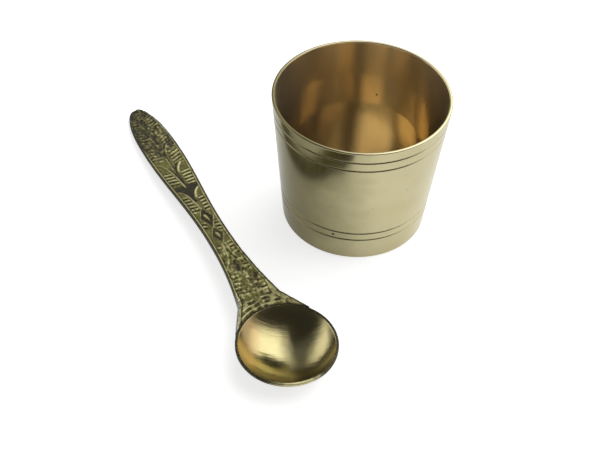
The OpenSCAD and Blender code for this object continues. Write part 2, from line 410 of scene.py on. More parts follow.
@dataclass(frozen=True)
class TurnedBrass(Finish):
    """Brass that was turned, with fine rings, faint stains, small pits, a share polished like a mirror, and a
    colour laid over one side, used both as painted shade and as tarnish.
    """

    tone: Colour
    stain: Colour
    roughness: float
    turning: Turning
    centre: tuple[float, float, float] = ORIGIN
    ring_width: float = 0.35
    ring_depth: float = 0.0015
    dent_size: float = 5.0
    dent_depth: float = 0.0
    anisotropy: float = 0.4
    blur: Blur = Blur.ACROSS_RINGS
    patchiness: float = 1.0
    gloss_roughness: float = 0.09
    gloss_share: float = 0.0
    scratch_depth: float = 0.0
    stain_size: float = 14.0
    stain_share: float = 0.5
    speck_share: float = 0.0
    # A colour laid over one side: painted shade on some finishes, tarnish on others.
    tarnish: Colour | None = None
    tarnish_side: float = 0.0
    tarnish_reach: Point = (0.0, 0.0)
    tarnish_waver: float = 12.0
    tarnish_rough: float = 0.0
    pits: tuple[Pit, ...] = ()
    pit_depth: float = 0.03
    wall_r: Point = (0.0, 0.0)

    SCRATCH_AZIMUTH = 117.0
    SCRATCH_LENGTH = 7.0
    SCRATCH_WIDTH = 0.8
    BAND_WIDTH = 14.0
    BAND_SHARE = 0.2
    SPECK_SIZE = 0.5
    STAIN_EDGE = (0.35, 0.75)
    SPECK_EDGE = (0.5, 0.75)
    RING_ROUGH = 0.1
    CLOUD_ROUGH = 0.08
    SPECK_ROUGH = 0.04
    MEAN_ROUGH = 0.1
    PIT_TONE = srgb(58, 44, 26)
    PIT_SHARE = 0.85
    PIT_ROUGH = 0.4
    PIT_CORE = 0.4

    def pit_mask(self, tree: ShaderTree, where: bpy.types.NodeSocket) -> Value | float:
        """Marks the pits.

        Args:
            tree: The material's tree.
            where: Place from the cup's axis, in millimetres.

        Returns:
            1 in a pit and 0 elsewhere.
        """
        mask: Value | float = 0.0
        for pit in self.pits:
            radius = self.wall_r[0] + self.wall_r[1] * pit.height
            angle = math.radians(pit.angle)
            spot = (radius * math.cos(angle), radius * math.sin(angle), pit.height)
            away = tree.add("ShaderNodeVectorMath", {"operation": "DISTANCE"}, {0: where, 1: spot})
            inside = Value(tree, away.outputs["Value"]).step(pit.radius, pit.radius * self.PIT_CORE)
            mask = inside + mask
        return mask

    def shader(self, tree: ShaderTree) -> bpy.types.NodeSocket:
        """Fills the material's tree.

        Args:
            tree: The material's tree.

        Returns:
            The shader's socket.
        """
        where = tree.place(self.centre)
        x, y, z = tree.split(where)
        along = z if self.turning is Turning.WALL else (x * x + y * y) ** 0.5
        rings = tree.rings(along, self.ring_width)
        bands = tree.rings(along, self.ring_width * self.BAND_WIDTH, detail=1.0)
        clouds = tree.noise(where, self.stain_size, detail=4.0, roughness=0.6)
        specks = tree.noise(where, self.SPECK_SIZE)
        mottled = clouds * (1 - self.BAND_SHARE) + bands * self.BAND_SHARE
        colour = tree.mix(mottled.step(*self.STAIN_EDGE) * self.stain_share, self.tone, self.stain)
        uneven = rings * self.RING_ROUGH + clouds * self.CLOUD_ROUGH + specks * self.SPECK_ROUGH
        rough = (uneven - self.MEAN_ROUGH) * self.patchiness + self.roughness
        # Painted shade and tarnish: a colour laid over the side that faces one way; on the cup's outside and
        # the bowl's lip it is painted shade.
        if self.tarnish:
            side = tree.dot(where, direction(self.tarnish_side)) + (clouds - 0.5) * self.tarnish_waver
            tarnished = side.step(*self.tarnish_reach)
            colour = tree.mix(tarnished, colour, self.tarnish)
            rough = rough + tarnished * self.tarnish_rough
        colour = tree.mix(specks.step(*self.SPECK_EDGE) * self.speck_share, colour, self.stain)
        dents = tree.noise(where, self.dent_size, detail=1.0)
        height = rings * self.ring_depth + dents * self.dent_depth
        if self.scratch_depth:
            run = tree.dot(where, direction(self.SCRATCH_AZIMUTH)) / self.SCRATCH_LENGTH
            across = tree.dot(where, direction(self.SCRATCH_AZIMUTH - 90.0)) / self.SCRATCH_WIDTH
            height = height + tree.noise(tree.join(run, across), size=1.0) * self.scratch_depth
        if self.pits:
            pits = self.pit_mask(tree, where)
            colour = tree.mix(pits * self.PIT_SHARE, colour, self.PIT_TONE)
            rough = rough + pits * self.PIT_ROUGH
            height = height - pits * self.pit_depth
        polish = {"Base Color": colour, "Metallic": 1.0, "Normal": tree.bump(height, depth=1.0)}
        brushed = {"Anisotropic": self.anisotropy, "Anisotropic Rotation": self.blur.value}
        turned = tree.metal({**polish, **brushed, "Roughness": rough})
        if not self.gloss_share:
            return turned
        gloss = tree.metal({**polish, "Roughness": self.gloss_roughness})
        return tree.add("ShaderNodeMixShader", None, {0: self.gloss_share, 1: turned, 2: gloss}).outputs[0]


@dataclass(frozen=True)
class AgedBrass(Finish):
    """Cast brass with dark patina in its recesses, pale ridges of worn metal with a painted highlight, and
    grey edges that are partly a painted reflection.
    """

    ridge: Colour
    body: Colour
    recess: Colour
    green: Colour
    dark: Colour
    bare: Colour

    GRAIN_SIZE = 0.75
    GRAIN_WEIGHT = 0.9
    GRAIN_DEPTH = 0.09
    GRAIN_BUMP = 0.9
    CLOUD_SIZE = 5.0
    BODY_EDGE = (0.02, 0.5)
    GREEN_EDGE = (0.4, 0.7)
    GREEN_LEVEL = (0.0, 0.3)
    GREEN_SHARE = 0.5
    DARK_SHARE = 0.75
    RIDGE_EDGE = (0.5, 1.0)
    RUBBED_SHARE = 0.75
    ROUGH = 0.6
    GRAIN_ROUGH = 0.2
    POLISH_EDGE = (0.3, 0.95)
    POLISH = 0.3
    SHEEN_AND_BARE_POLISH = 0.2
    METAL_EDGE = (0.0, 0.7)
    RECESS_METAL = 0.3
    RIDGE_METAL = 0.8

    def shader(self, tree: ShaderTree) -> bpy.types.NodeSocket:
        """Fills the material's tree.

        Args:
            tree: The material's tree.

        Returns:
            The shader's socket.
        """
        where = tree.place()
        relief = tree.attribute("relief")
        wear = tree.attribute("wear")
        bare = tree.attribute("bare")
        grain = tree.noise(where, self.GRAIN_SIZE, detail=3.0, roughness=0.55)
        clouds = tree.noise(where, self.CLOUD_SIZE, detail=3.0, roughness=0.6)
        level = relief + (grain - 0.5) * self.GRAIN_WEIGHT
        colour = tree.mix(level.step(*self.BODY_EDGE), self.recess, self.body)
        greened = clouds.step(*self.GREEN_EDGE) * level.step(*self.GREEN_LEVEL) * self.GREEN_SHARE
        colour = tree.mix(greened, colour, self.green)
        colour = tree.mix((1 - wear) * self.DARK_SHARE, colour, self.dark)
        # Painted highlight: the ridge tops take the pale ridge colour, which is partly worn metal and partly
        # a painted highlight.
        rubbed_and_highlit = wear * self.RUBBED_SHARE + (1 - self.RUBBED_SHARE)
        colour = tree.mix(level.step(*self.RIDGE_EDGE) * rubbed_and_highlit, colour, self.ridge)
        # Painted reflection: the grey beside the bowl stands in for the pale surroundings mirrored there; at
        # the tip's right it is scraped metal.
        colour = tree.mix(bare, colour, self.bare)
        polished = level.step(*self.POLISH_EDGE) * wear * self.POLISH + bare * self.SHEEN_AND_BARE_POLISH
        metallic = level.step(*self.METAL_EDGE) * (self.RIDGE_METAL - self.RECESS_METAL) + self.RECESS_METAL
        return tree.metal(
            {
                "Base Color": colour,
                "Roughness": self.ROUGH - polished + (grain - 0.5) * self.GRAIN_ROUGH,
                "Metallic": metallic,
                "Normal": tree.bump(grain, self.GRAIN_DEPTH, self.GRAIN_BUMP),
            }
        )


@dataclass(frozen=True)
class Solder(Finish):
    """Dull grey solder that ran into a joint."""

    tone: Colour
    dross: Colour

    LUMP_SIZE = 0.9
    LUMP_DEPTH = 0.12
    LUMP_BUMP = 0.7
    FILM_SIZE = 2.5
    FILM_EDGE = (0.4, 0.7)
    FILM_ROUGH = 0.35
    ROUGH = 0.3

    def shader(self, tree: ShaderTree) -> bpy.types.NodeSocket:
        """Fills the material's tree.

        Args:
            tree: The material's tree.

        Returns:
            The shader's socket.
        """
        where = tree.place()
        lumps = tree.noise(where, self.LUMP_SIZE, detail=3.0)
        film = tree.noise(where, self.FILM_SIZE, detail=4.0, roughness=0.65)
        return tree.metal(
            {
                "Base Color": tree.mix(film.step(*self.FILM_EDGE), self.tone, self.dross),
                "Roughness": film * self.FILM_ROUGH + self.ROUGH,
                "Metallic": 1.0,
                "Normal": tree.bump(lumps, self.LUMP_DEPTH, self.LUMP_BUMP),
            }
        )


@dataclass(frozen=True)
class Corner:
    """A corner of a turned profile with the radius that rounds it."""

    r: float
    z: float
    round: float = 0.0


class Profile:
    """A turned profile: straight runs joined by rounded corners."""

    ARC_STEPS = 5
    SUPPORT = 0.12
    LEAST_RUN = 4 * SUPPORT
    STRAIGHT = math.radians(89)

    def __init__(self, corners: Sequence[Corner], closed: bool) -> None:
        """Keeps the corners, and whether the last one joins the first."""
        self.corners = list(corners)
        self.closed = closed

    def fillet(self, before: Corner, corner: Corner, after: Corner) -> list[Point]:
        """Rounds one corner.

        Args:
            before: The corner before it.
            corner: The corner to round.
            after: The corner after it.

        Returns:
            The points of the arc, or the corner itself where it is sharp.
        """
        tip = Vector((corner.r, corner.z))
        one = (Vector((before.r, before.z)) - tip).normalized()
        two = (Vector((after.r, after.z)) - tip).normalized()
        half = one.angle(two) / 2
        if corner.round <= 0 or half > self.STRAIGHT:
            return [(corner.r, corner.z)]
        reach = corner.round / math.tan(half)
        centre = tip + (one + two).normalized() * (corner.round / math.sin(half))
        start = tip + one * reach - centre
        end = tip + two * reach - centre
        points = []
        for i in range(self.ARC_STEPS + 1):
            arm = start.lerp(end, i / self.ARC_STEPS).normalized() * corner.round
            points.append((centre.x + arm.x, centre.y + arm.y))
        return points

    def points(self) -> list[Point]:
        """Draws the profile, with supporting points that keep long faces flat in their shading.

        Returns:
            The points in order.
        """
        n = len(self.corners)
        arcs = []
        for i, corner in enumerate(self.corners):
            if not self.closed and i in (0, n - 1):
                arcs.append([(corner.r, corner.z)])
            else:
                arcs.append(self.fillet(self.corners[i - 1], corner, self.corners[(i + 1) % n]))
        out: list[Point] = []
        for i, arc in enumerate(arcs):
            out.extend(arc)
            if i == n - 1 and not self.closed:
                break
            start, end = Vector(arc[-1]), Vector(arcs[(i + 1) % n][0])
            run = (end - start).length
            if run > self.LEAST_RUN:
                step = (end - start) * (self.SUPPORT / run)
                out.extend([tuple(start + step), tuple(end - step)])
        return out


def settle(bm: bmesh.types.BMesh, centre: Point) -> None:
    """Merges a mesh's doubles, turns its faces outwards and moves it to its place.

    Args:
        bm: The mesh.
        centre: Its place in plan, in millimetres.
    """
    bmesh.ops.remove_doubles(bm, verts=bm.verts, dist=MERGE)
    bmesh.ops.recalc_face_normals(bm, faces=bm.faces)
    bmesh.ops.translate(bm, verts=bm.verts, vec=(centre[0] * MM, centre[1] * MM, 0.0))


def spun(profile: Profile, steps: int, centre: Point = (0.0, 0.0)) -> bmesh.types.BMesh:
    """Spins a profile about an upright axis.

    Args:
        profile: Radii and heights in millimetres.
        steps: Faces round the axis.
        centre: The axis, in millimetres.

    Returns:
        The closed mesh, in metres.
    """
    bm = bmesh.new()
    verts = [bm.verts.new((r * MM, 0.0, z * MM)) for r, z in profile.points()]
    pairs = list(zip(verts, verts[1:]))
    if profile.closed:
        pairs.append((verts[-1], verts[0]))
    edges = [bm.edges.new(pair) for pair in pairs]
    bmesh.ops.spin(bm, geom=verts + edges, cent=ORIGIN, axis=UP, angle=math.tau, steps=steps, use_merge=True)
    settle(bm, centre)
    return bm


def store(bm: bmesh.types.BMesh, name: str, shares: np.ndarray) -> None:
    """Stores a number on each vertex, for the shaders to read.

    Args:
        bm: The mesh.
        name: The number's name.
        shares: The numbers in the order of the vertices.
    """
    layer = bm.verts.layers.float.new(name)
    for vert, share in zip(bm.verts, shares):
        vert[layer] = share


def close_wall(
    bm: bmesh.types.BMesh, over: Sequence[bmesh.types.BMVert], under: Sequence[bmesh.types.BMVert]
) -> None:
    """Closes an end with a wall of triangles between its upper and its lower edge.

    Args:
        bm: The mesh.
        over: Vertices of the upper edge, from left to right.
        under: Vertices of the lower edge, with the same first and last ones.
    """
    i = j = 0
    while i < len(over) - 1 or j < len(under) - 1:
        ended = j == len(under) - 1
        upper = ended or (i < len(over) - 1 and over[i + 1].co.x < under[j + 1].co.x)
        ahead = over[i + 1] if upper else under[j + 1]
        corners = {over[i], under[j], ahead}
        if len(corners) == 3:
            bm.faces.new(corners)
        i, j = (i + 1, j) if upper else (i, j + 1)


def add_piece(
    bm: bmesh.types.BMesh, name: str, body: str, materials: Sequence[bpy.types.Material]
) -> bpy.types.Object:
    """Turns a finished mesh into a piece that stands for the CAD node of the same name.

    Args:
        bm: The mesh, which is freed.
        name: The CAD node; the piece takes its name with a suffix.
        body: The body that carries it.
        materials: The finishes in the order of the faces' indices.

    Returns:
        The piece.
    """
    for face in bm.faces:
        face.smooth = True
    mesh = bpy.data.meshes.new(name)
    bm.to_mesh(mesh)
    bm.free()
    piece = bpy.data.objects.new(f"{name}_look", mesh)
    bpy.context.scene.collection.objects.link(piece)
    for material in materials:
        mesh.materials.append(material)
    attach(piece, body)
    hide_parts(name)
    LOG.info("%s: %d faces on %s", piece.name, len(mesh.polygons), body)
    return piece


class WallFace(IntEnum):
    """The sides of the cup's wall, as material indices."""

    OUTSIDE = 0
    INSIDE = 1


@dataclass
class Cup:
    """The tapered water cup: wall, floor and the solder under the floor."""

    rim_r: float
    height: float
    floor_low: float
    floor_high: float
    foot_r: float = 24.5
    rim_t: float = 1.1
    foot_t: float = 1.9
    edge_round: float = 0.4
    inside_edge: float = 0.1
    lip_w: float = 1.0
    lip_round: float = 0.1
    seat_round: float = 0.05
    floor_round: float = 0.1
    solder_gap: float = 0.05
    solder_leg: float = 0.6
    solder_round: float = 0.08
    solder_dip: float = 0.24
    solder_dip_round: float = 0.3
    line_w: float = 0.8
    line_depth: float = 0.3
    line_round: float = 0.08
    line_edge_round: float = 0.12
    line_heights: tuple[float, ...] = (9.2, 12.4, 42.4, 46.0)
    steps: int = 192

    BODY = "cup"

    @classmethod
    def from_frame(cls) -> "Cup":
        """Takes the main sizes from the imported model.

        Returns:
            The cup.
        """
        _, wall_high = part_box("cup_wall")
        floor_low, floor_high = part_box("cup_floor")
        return cls(
            rim_r=wall_high.x / MM,
            height=wall_high.z / MM,
            floor_low=floor_low.z / MM,
            floor_high=floor_high.z / MM,
        )

    @property
    def taper(self) -> float:
        """Growth of the radius with height."""
        return (self.rim_r - self.foot_r) / self.height

    @property
    def lip_r(self) -> float:
        """Radius of the opening in the lip that carries the floor."""
        return self.inner_r(self.floor_low) - self.lip_w

    def outer_r(self, z: float) -> float:
        """Outer radius at a height."""
        return self.foot_r + self.taper * z

    def inner_r(self, z: float) -> float:
        """Inner radius at a height; the wall thickens from the rim to the foot."""
        return self.outer_r(z) - self.foot_t - (self.rim_t - self.foot_t) * z / self.height

    def wall_profile(self) -> Profile:
        """Draws the wall: foot, turned lines, rim, inside and the lip that carries the floor.

        Returns:
            The closed profile.
        """
        corners = [Corner(self.lip_r, 0.0, self.lip_round), Corner(self.outer_r(0.0), 0.0, self.edge_round)]
        half = self.line_w / 2
        for z in self.line_heights:
            corners.append(Corner(self.outer_r(z - half), z - half, self.line_edge_round))
            corners.append(Corner(self.outer_r(z) - self.line_depth, z, self.line_round))
            corners.append(Corner(self.outer_r(z + half), z + half, self.line_edge_round))
        corners.append(Corner(self.outer_r(self.height), self.height, self.edge_round))
        corners.append(Corner(self.inner_r(self.height), self.height, self.edge_round))
        corners.append(Corner(self.inner_r(self.floor_low), self.floor_low, self.seat_round))
        corners.append(Corner(self.lip_r, self.floor_low, self.lip_round))
        return Profile(corners, closed=True)

    def floor_profile(self) -> Profile:
        """Draws the disc that lies on the lip, its edge turned to the wall's taper.

        Returns:
            The profile, open at the axis.
        """
        low, high = self.floor_low, self.floor_high
        edge = [Corner(self.inner_r(z) - self.solder_gap, z, self.floor_round) for z in (low, high)]
        return Profile([Corner(0.0, low), *edge, Corner(0.0, high)], closed=False)

    def solder_profile(self) -> Profile:
        """Draws the solder in the corner under the floor, inside the lip.

        Returns:
            The closed profile.
        """
        low = self.floor_low
        corners = [
            Corner(self.lip_r, low),
            Corner(self.lip_r - self.solder_leg, low, self.solder_round),
            Corner(self.lip_r - self.solder_dip, low - self.solder_dip, self.solder_dip_round),
            Corner(self.lip_r, low - self.solder_leg, self.solder_round),
        ]
        return Profile(corners, closed=True)

    def outside_finish(self) -> Finish:
        """Dresses the outside: satin, darkened on the left by painted shade, with a few pits.

        Returns:
            The finish.
        """
        return TurnedBrass(
            name="cup_outside",
            tone=srgb(213, 204, 163),
            stain=srgb(201, 190, 144),
            roughness=0.14,
            turning=Turning.WALL,
            dent_size=0.7,
            dent_depth=0.004,
            # Painted shade: the side towards the spoon is darkened where the wall mirrors the shadowed floor.
            tarnish=srgb(128, 121, 84),
            tarnish_side=-70.0,
            tarnish_reach=(-6.0, 28.0),
            pits=(
                Pit(angle=-134.9, height=10.75, radius=0.7),
                Pit(angle=-113.7, height=17.6, radius=0.22),
                Pit(angle=-108.0, height=24.8, radius=0.2),
                Pit(angle=-84.2, height=30.2, radius=0.25),
            ),
            wall_r=(self.foot_r, self.taper),
        )

    def inside_finish(self) -> Finish:
        """Dresses the inside: pale, part satin and part polished, so that it mirrors the floor softly.

        Returns:
            The finish.
        """
        return TurnedBrass(
            name="cup_inside",
            tone=srgb(244, 228, 195),
            stain=srgb(236, 214, 175),
            roughness=0.29,
            turning=Turning.WALL,
            ring_depth=0.0003,
            anisotropy=0.9,
            patchiness=0.3,
            gloss_roughness=0.06,
            gloss_share=0.6,
            stain_share=0.3,
            pits=(Pit(angle=47.1, height=30.1, radius=0.5),),
            wall_r=(self.inner_r(0.0), self.inner_r(1.0) - self.inner_r(0.0)),
        )

    def floor_finish(self) -> Finish:
        """Dresses the floor, darker towards one side.

        Returns:
            The finish.
        """
        return TurnedBrass(
            name="cup_floor",
            tone=srgb(190, 177, 142),
            stain=srgb(179, 161, 124),
            roughness=0.13,
            turning=Turning.FACE,
            ring_depth=0.0003,
            blur=Blur.ALONG_RINGS,
            patchiness=0.3,
            tarnish=srgb(112, 100, 78),
            tarnish_side=120.0,
            tarnish_reach=(-10.0, 13.0),
            tarnish_waver=3.0,
        )

    def build(self, solder: bpy.types.Material) -> None:
        """Builds and dresses the cup's three pieces.

        Args:
            solder: The solder's material.
        """
        bm = spun(self.wall_profile(), self.steps)
        for face in bm.faces:
            middle = face.calc_center_median() / MM
            hollow = math.hypot(middle.x, middle.y) < self.inner_r(middle.z) + self.inside_edge
            face.material_index = WallFace.INSIDE if hollow else WallFace.OUTSIDE
        wall = [self.outside_finish().material(), self.inside_finish().material()]
        add_piece(bm, "cup_wall", self.BODY, wall)
        disc = spun(self.floor_profile(), self.steps)
        add_piece(disc, "cup_floor", self.BODY, [self.floor_finish().material()])
        bead = spun(self.solder_profile(), self.steps)
        add_piece(bead, "floor_solder", self.BODY, [solder])


@dataclass
class HandleForm:
    """The handle's outline and bend, by the distance s from the bowl's centre."""

    reach: float
    lap_r: float
    neck_top: float
    neck_t: float = 2.8
    tip_t: float = 1.8
    waist_w: float = 7.8
    waist_reach: float = 54.0
    blade_w: float = 12.9
    blade_back: float = 26.8
    shoulder_w: float = 14.8
    shoulder_reach: float = 19.6
    tip_w: float = 1.6
    tip_rest: float = 4.0
    under_bevel: float = 0.5
    horn_cut: float = 0.2
    neck_power: float = 2.2
    tip_power: float = 2.6
    tip_round: float = 0.53
    bend_power: float = 1.27

    @property
    def blade_reach(self) -> float:
        """Distance of the broadest place."""
        return self.reach - self.blade_back

    @property
    def horn(self) -> Vector:
        """Finds the end of the crescent's outer edge.

        Returns:
            Its place as w and s.
        """
        shoulder = Vector((self.shoulder_w / 2, self.shoulder_reach))
        turn = math.atan2(shoulder.x, shoulder.y) + math.acos(self.lap_r / shoulder.length)
        touch = self.lap_r * Vector((math.sin(turn), math.cos(turn)))
        return touch.lerp(shoulder, self.horn_cut)

    def half_width(self, s: np.ndarray) -> np.ndarray:
        """Half of the handle's width.

        Args:
            s: Distances from the bowl's centre.

        Returns:
            The half widths.
        """
        horn = self.horn
        share = (s - horn.y) / (self.shoulder_reach - horn.y)
        web = horn.x + (self.shoulder_w / 2 - horn.x) * share
        back = np.clip((self.waist_reach - s) / (self.waist_reach - self.shoulder_reach), 0.0, None)
        neck = self.waist_w / 2 + (self.shoulder_w - self.waist_w) / 2 * back**self.neck_power
        swell = (s - self.waist_reach) / (self.blade_reach - self.waist_reach)
        blade = self.waist_w / 2 + (self.blade_w - self.waist_w) / 4 * (1 - np.cos(math.pi * swell))
        end = np.clip((s - self.blade_reach) / self.blade_back, 0.0, 1.0)
        tip = self.tip_w / 2 + (self.blade_w - self.tip_w) / 2 * (1 - end**self.tip_power) ** self.tip_round
        far = np.where(s < self.blade_reach, blade, tip)
        return np.where(s < self.shoulder_reach, web, np.where(s < self.waist_reach, neck, far))

    def along(self, s: np.ndarray) -> np.ndarray:
        """Share of the bend: 0 at the shoulders, 1 where the tip rests."""
        run = self.reach - self.tip_rest - self.shoulder_reach
        return np.clip((s - self.shoulder_reach) / run, 0.0, 1.0)

    def top(self, s: np.ndarray) -> np.ndarray:
        """Height of the border's top."""
        return self.neck_top + (self.tip_t - self.neck_top) * self.along(s) ** self.bend_power

    def under(self, s: np.ndarray) -> np.ndarray:
        """Height of the underside."""
        return self.top(s) - self.neck_t - (self.tip_t - self.neck_t) * self.along(s)


@dataclass(frozen=True)
class Plan:
    """Places on the handle's top, with the half width inside the border at each."""

    s: np.ndarray
    w: np.ndarray
    field: np.ndarray


class Side(IntEnum):
    """A side of the handle, as the sign of w."""

    LEFT = -1
    RIGHT = 1


class Motif:
    """One figure of the relief, cut into levels that run from 0, sunk, to 1, the border."""

    SUNK = 0.0
    CUT = 0.1
    FIELD = 0.42
    TICK = 0.9
    RIDGE = 0.97
    TICK_PITCH = 1.75
    RIDGE_ROUND = 0.75
    RIB_SIDES = (0.25, 0.8)
    BORDER_FADE = (0.0, 0.25)

    def carve(self, plan: Plan, level: np.ndarray) -> np.ndarray:
        """Cuts the figure.

        Args:
            plan: The places.
            level: Their levels so far.

        Returns:
            Their levels with the figure.
        """
        raise NotImplementedError

    @classmethod
    def ridge(cls, distance: np.ndarray, width: float) -> np.ndarray:
        """Gives a rounded ridge, 1 on its line and 0 at its foot, for distances from the line."""
        return np.clip(1 - (2 * distance / width) ** 2, 0.0, 1.0) ** cls.RIDGE_ROUND

    @staticmethod
    def window(x: np.ndarray, start: float, end: float, soft: float = 0.3) -> np.ndarray:
        """Gives 1 between two places and 0 outside them, with slopes of a soft length."""
        return smooth_step(start - soft, start + soft, x) * smooth_step(end + soft, end - soft, x)

    @classmethod
    def ribs(cls, x: np.ndarray, pitch: float) -> np.ndarray:
        """Gives a row of ribs along x, 1 on each rib."""
        return smooth_step(*cls.RIB_SIDES, 0.5 + 0.5 * np.cos(math.tau * x / pitch))

    @classmethod
    def hatch(cls, level: np.ndarray, x: np.ndarray, where: np.ndarray, pitch: float) -> np.ndarray:
        """Hatches an area with ribs and the cuts between them.

        Args:
            level: Levels so far.
            x: Distance along the row of ribs.
            where: Share of the hatching.
            pitch: Distance from one rib to the next.

        Returns:
            The levels with the hatching.
        """
        hatched = cls.CUT + (cls.TICK - cls.CUT) * cls.ribs(x, pitch)
        return level + (hatched - level) * where


@dataclass(frozen=True)
class Leaf(Motif):
    """Half of a leaf pair: a ridge that curves from the stem out to the border, with ticks behind it."""

    side: Side
    root: float
    tip: float
    ticks: Point
    lean: float = 0.0
    curve: float = 5.0
    stem: float = 0.5
    ridge_w: float = 0.8
    ridge_from: float = 0.0
    hollow: Point = (0.0, 0.0)
    hollow_w: float = 1.0
    slant: float = 0.12
    relief: float = 1.0

    OWN_SIDE = (-0.35, 0.0)
    HOLLOW_EDGE = -0.1
    HOLLOW_FADE = 0.6
    BLADE_EDGE = (0.45, 0.75)
    SHOWN = (0.02, 0.97, 0.03)
    RIDGE_FADE = 0.25

    def carve(self, plan: Plan, level: np.ndarray) -> np.ndarray:
        """Cuts the hollow inside the leaf's edge, then the ticks behind it, then the edge.

        Args:
            plan: The places.
            level: Their levels so far.

        Returns:
            Their levels with the leaf.
        """
        length = self.tip - self.root
        t = (plan.s - self.root) / length
        run = np.clip(t, 0.0, 1.0)
        out = plan.w * self.side
        spread = plan.field - self.stem
        edge = self.stem + spread * (self.lean * run + (1 - self.lean) * run**self.curve)
        slope = self.lean + (1 - self.lean) * self.curve * run ** (self.curve - 1)
        gap = (out - edge) / np.sqrt(1 + (spread * slope / length) ** 2)
        own = smooth_step(*self.OWN_SIDE, out)
        sunk = self.window(gap, -self.hollow_w, self.HOLLOW_EDGE) * own
        sunk = sunk * self.window(plan.s, *self.hollow, self.HOLLOW_FADE)
        level = level + (self.SUNK - level) * sunk * self.relief
        blade = smooth_step(*self.BLADE_EDGE, gap) * smooth_step(*self.BORDER_FADE, plan.field - out)
        hatched = blade * self.window(plan.s, *self.ticks) * self.relief
        level = self.hatch(level, plan.s - self.slant * out, hatched, self.TICK_PITCH)
        shown = smooth_step(self.ridge_from - self.RIDGE_FADE, self.ridge_from, t)
        shown = shown * self.window(t, *self.SHOWN) * own
        return np.maximum(level, self.ridge(gap, self.ridge_w) * shown * self.RIDGE * self.relief)


@dataclass(frozen=True)
class Lozenge(Motif):
    """A sunk lozenge inside four thin ridges, with a drop in it."""

    start: float
    length: float
    width: float
    ridge_w: float = 0.55
    ridge_out: float = 0.2
    frame: float = 0.72
    drop_lean: float = 0.16
    drop_share: float = 0.23
    drop_w: float = 0.62
    drop_swell: float = 0.22
    drop_turn: float = 0.9

    SINK_EDGE = (0.05, -0.25)
    DROP_EDGE = (1.1, 0.5)

    def carve(self, plan: Plan, level: np.ndarray) -> np.ndarray:
        """Sinks the lozenge, then raises its frame and its drop.

        Args:
            plan: The places.
            level: Their levels so far.

        Returns:
            Their levels with the lozenge.
        """
        half_l, half_w = self.length / 2, self.width / 2
        off = plan.s - self.start - half_l
        side = np.abs(plan.w) / half_w + np.abs(off) / half_l - 1
        side = side * half_w * half_l / math.hypot(half_w, half_l)
        level = level + (self.SUNK - level) * smooth_step(*self.SINK_EDGE, side)
        level = np.maximum(level, self.ridge(side - self.ridge_out, self.ridge_w) * self.frame)
        belly = self.drop_w + self.drop_swell * np.tanh(off * self.drop_turn)
        drop = np.hypot((plan.w + self.drop_lean * off) / belly, off / (self.length * self.drop_share))
        return np.maximum(level, smooth_step(*self.DROP_EDGE, drop) * self.TICK)


@dataclass(frozen=True)
class Oval(Motif):
    """A sunk oval inside a thin ridge."""

    at: float
    shift: float
    length: float
    width: float
    sink: float
    ridge_w: float = 0.7
    relief: float = 1.0

    SINK_EDGE = (0.1, -0.3)

    def carve(self, plan: Plan, level: np.ndarray) -> np.ndarray:
        """Sinks the oval, then raises its ridge.

        Args:
            plan: The places.
            level: Their levels so far.

        Returns:
            Their levels with the oval.
        """
        x = (plan.w - self.shift) / (self.width / 2)
        y = (plan.s - self.at) / (self.length / 2)
        radius = np.sqrt(x**2 + y**2)
        steep = np.sqrt((2 * x / self.width) ** 2 + (2 * y / self.length) ** 2) / np.maximum(radius, TINY)
        gap = (radius - 1) / np.maximum(steep, TINY)
        level = level * (1 - self.sink * smooth_step(*self.SINK_EDGE, gap))
        return np.maximum(level, self.ridge(gap, self.ridge_w) * self.TICK * self.relief)


@dataclass(frozen=True)
class Ticks(Motif):
    """A row of short ribs along one border."""

    side: Side
    start: float
    end: float
    inner: float
    slant: float = 0.12
    share: float = 1.0
    pitch: float = Motif.TICK_PITCH

    INNER_FADE = 0.2

    def carve(self, plan: Plan, level: np.ndarray) -> np.ndarray:
        """Hatches the row.

        Args:
            plan: The places.
            level: Their levels so far.

        Returns:
            Their levels with the row.
        """
        out = plan.w * self.side
        where = smooth_step(self.inner - self.INNER_FADE, self.inner + self.INNER_FADE, out)
        where = where * smooth_step(*self.BORDER_FADE, plan.field - out)
        where = where * self.window(plan.s, self.start, self.end) * self.share
        return self.hatch(level, plan.s - self.start - self.slant * out, where, self.pitch)


@dataclass(frozen=True)
class Vein(Motif):
    """A thin cut along the handle with a raised line beside it."""

    start: float
    end: float
    shift: float
    width: float = 0.5
    depth: float = 0.8
    end_fade: float = 0.8
    line_gap: float = 1.1

    def carve(self, plan: Plan, level: np.ndarray) -> np.ndarray:
        """Cuts the line, then raises the one beside it.

        Args:
            plan: The places.
            level: Their levels so far.

        Returns:
            Their levels with the two lines.
        """
        run = self.window(plan.s, self.start, self.end, self.end_fade)
        level = level * (1 - self.depth * run * self.ridge(plan.w - self.shift, self.width))
        beside = self.ridge(plan.w - self.shift + self.width * self.line_gap, self.width) * run
        return np.maximum(level, beside * self.TICK)


@dataclass(frozen=True)
class Rosette(Motif):
    """Petals round an eye."""

    at: float
    diameter: float
    petals: int
    relief: float = 1.0

    DEEP = 0.12
    PETAL_SIDES = (-0.2, 0.5)
    PETAL_SPAN = (0.42, 0.95, 0.1)
    EYE_EDGE = (0.3, 0.2)
    OUTER_EDGE = (1.2, 1.05)

    def carve(self, plan: Plan, level: np.ndarray) -> np.ndarray:
        """Cuts between the petals and round the rosette.

        Args:
            plan: The places.
            level: Their levels so far.

        Returns:
            Their levels with the rosette.
        """
        radius = np.hypot(plan.w, plan.s - self.at) / (self.diameter / 2)
        turn = np.arctan2(plan.w, plan.s - self.at)
        petal = smooth_step(*self.PETAL_SIDES, np.cos(turn * self.petals))
        petal = petal * self.window(radius, *self.PETAL_SPAN)
        eye = smooth_step(*self.EYE_EDGE, radius)
        cut = self.DEEP + (self.TICK - self.DEEP) * np.maximum(petal, eye)
        return level + (cut - level) * smooth_step(*self.OUTER_EDGE, radius) * self.relief


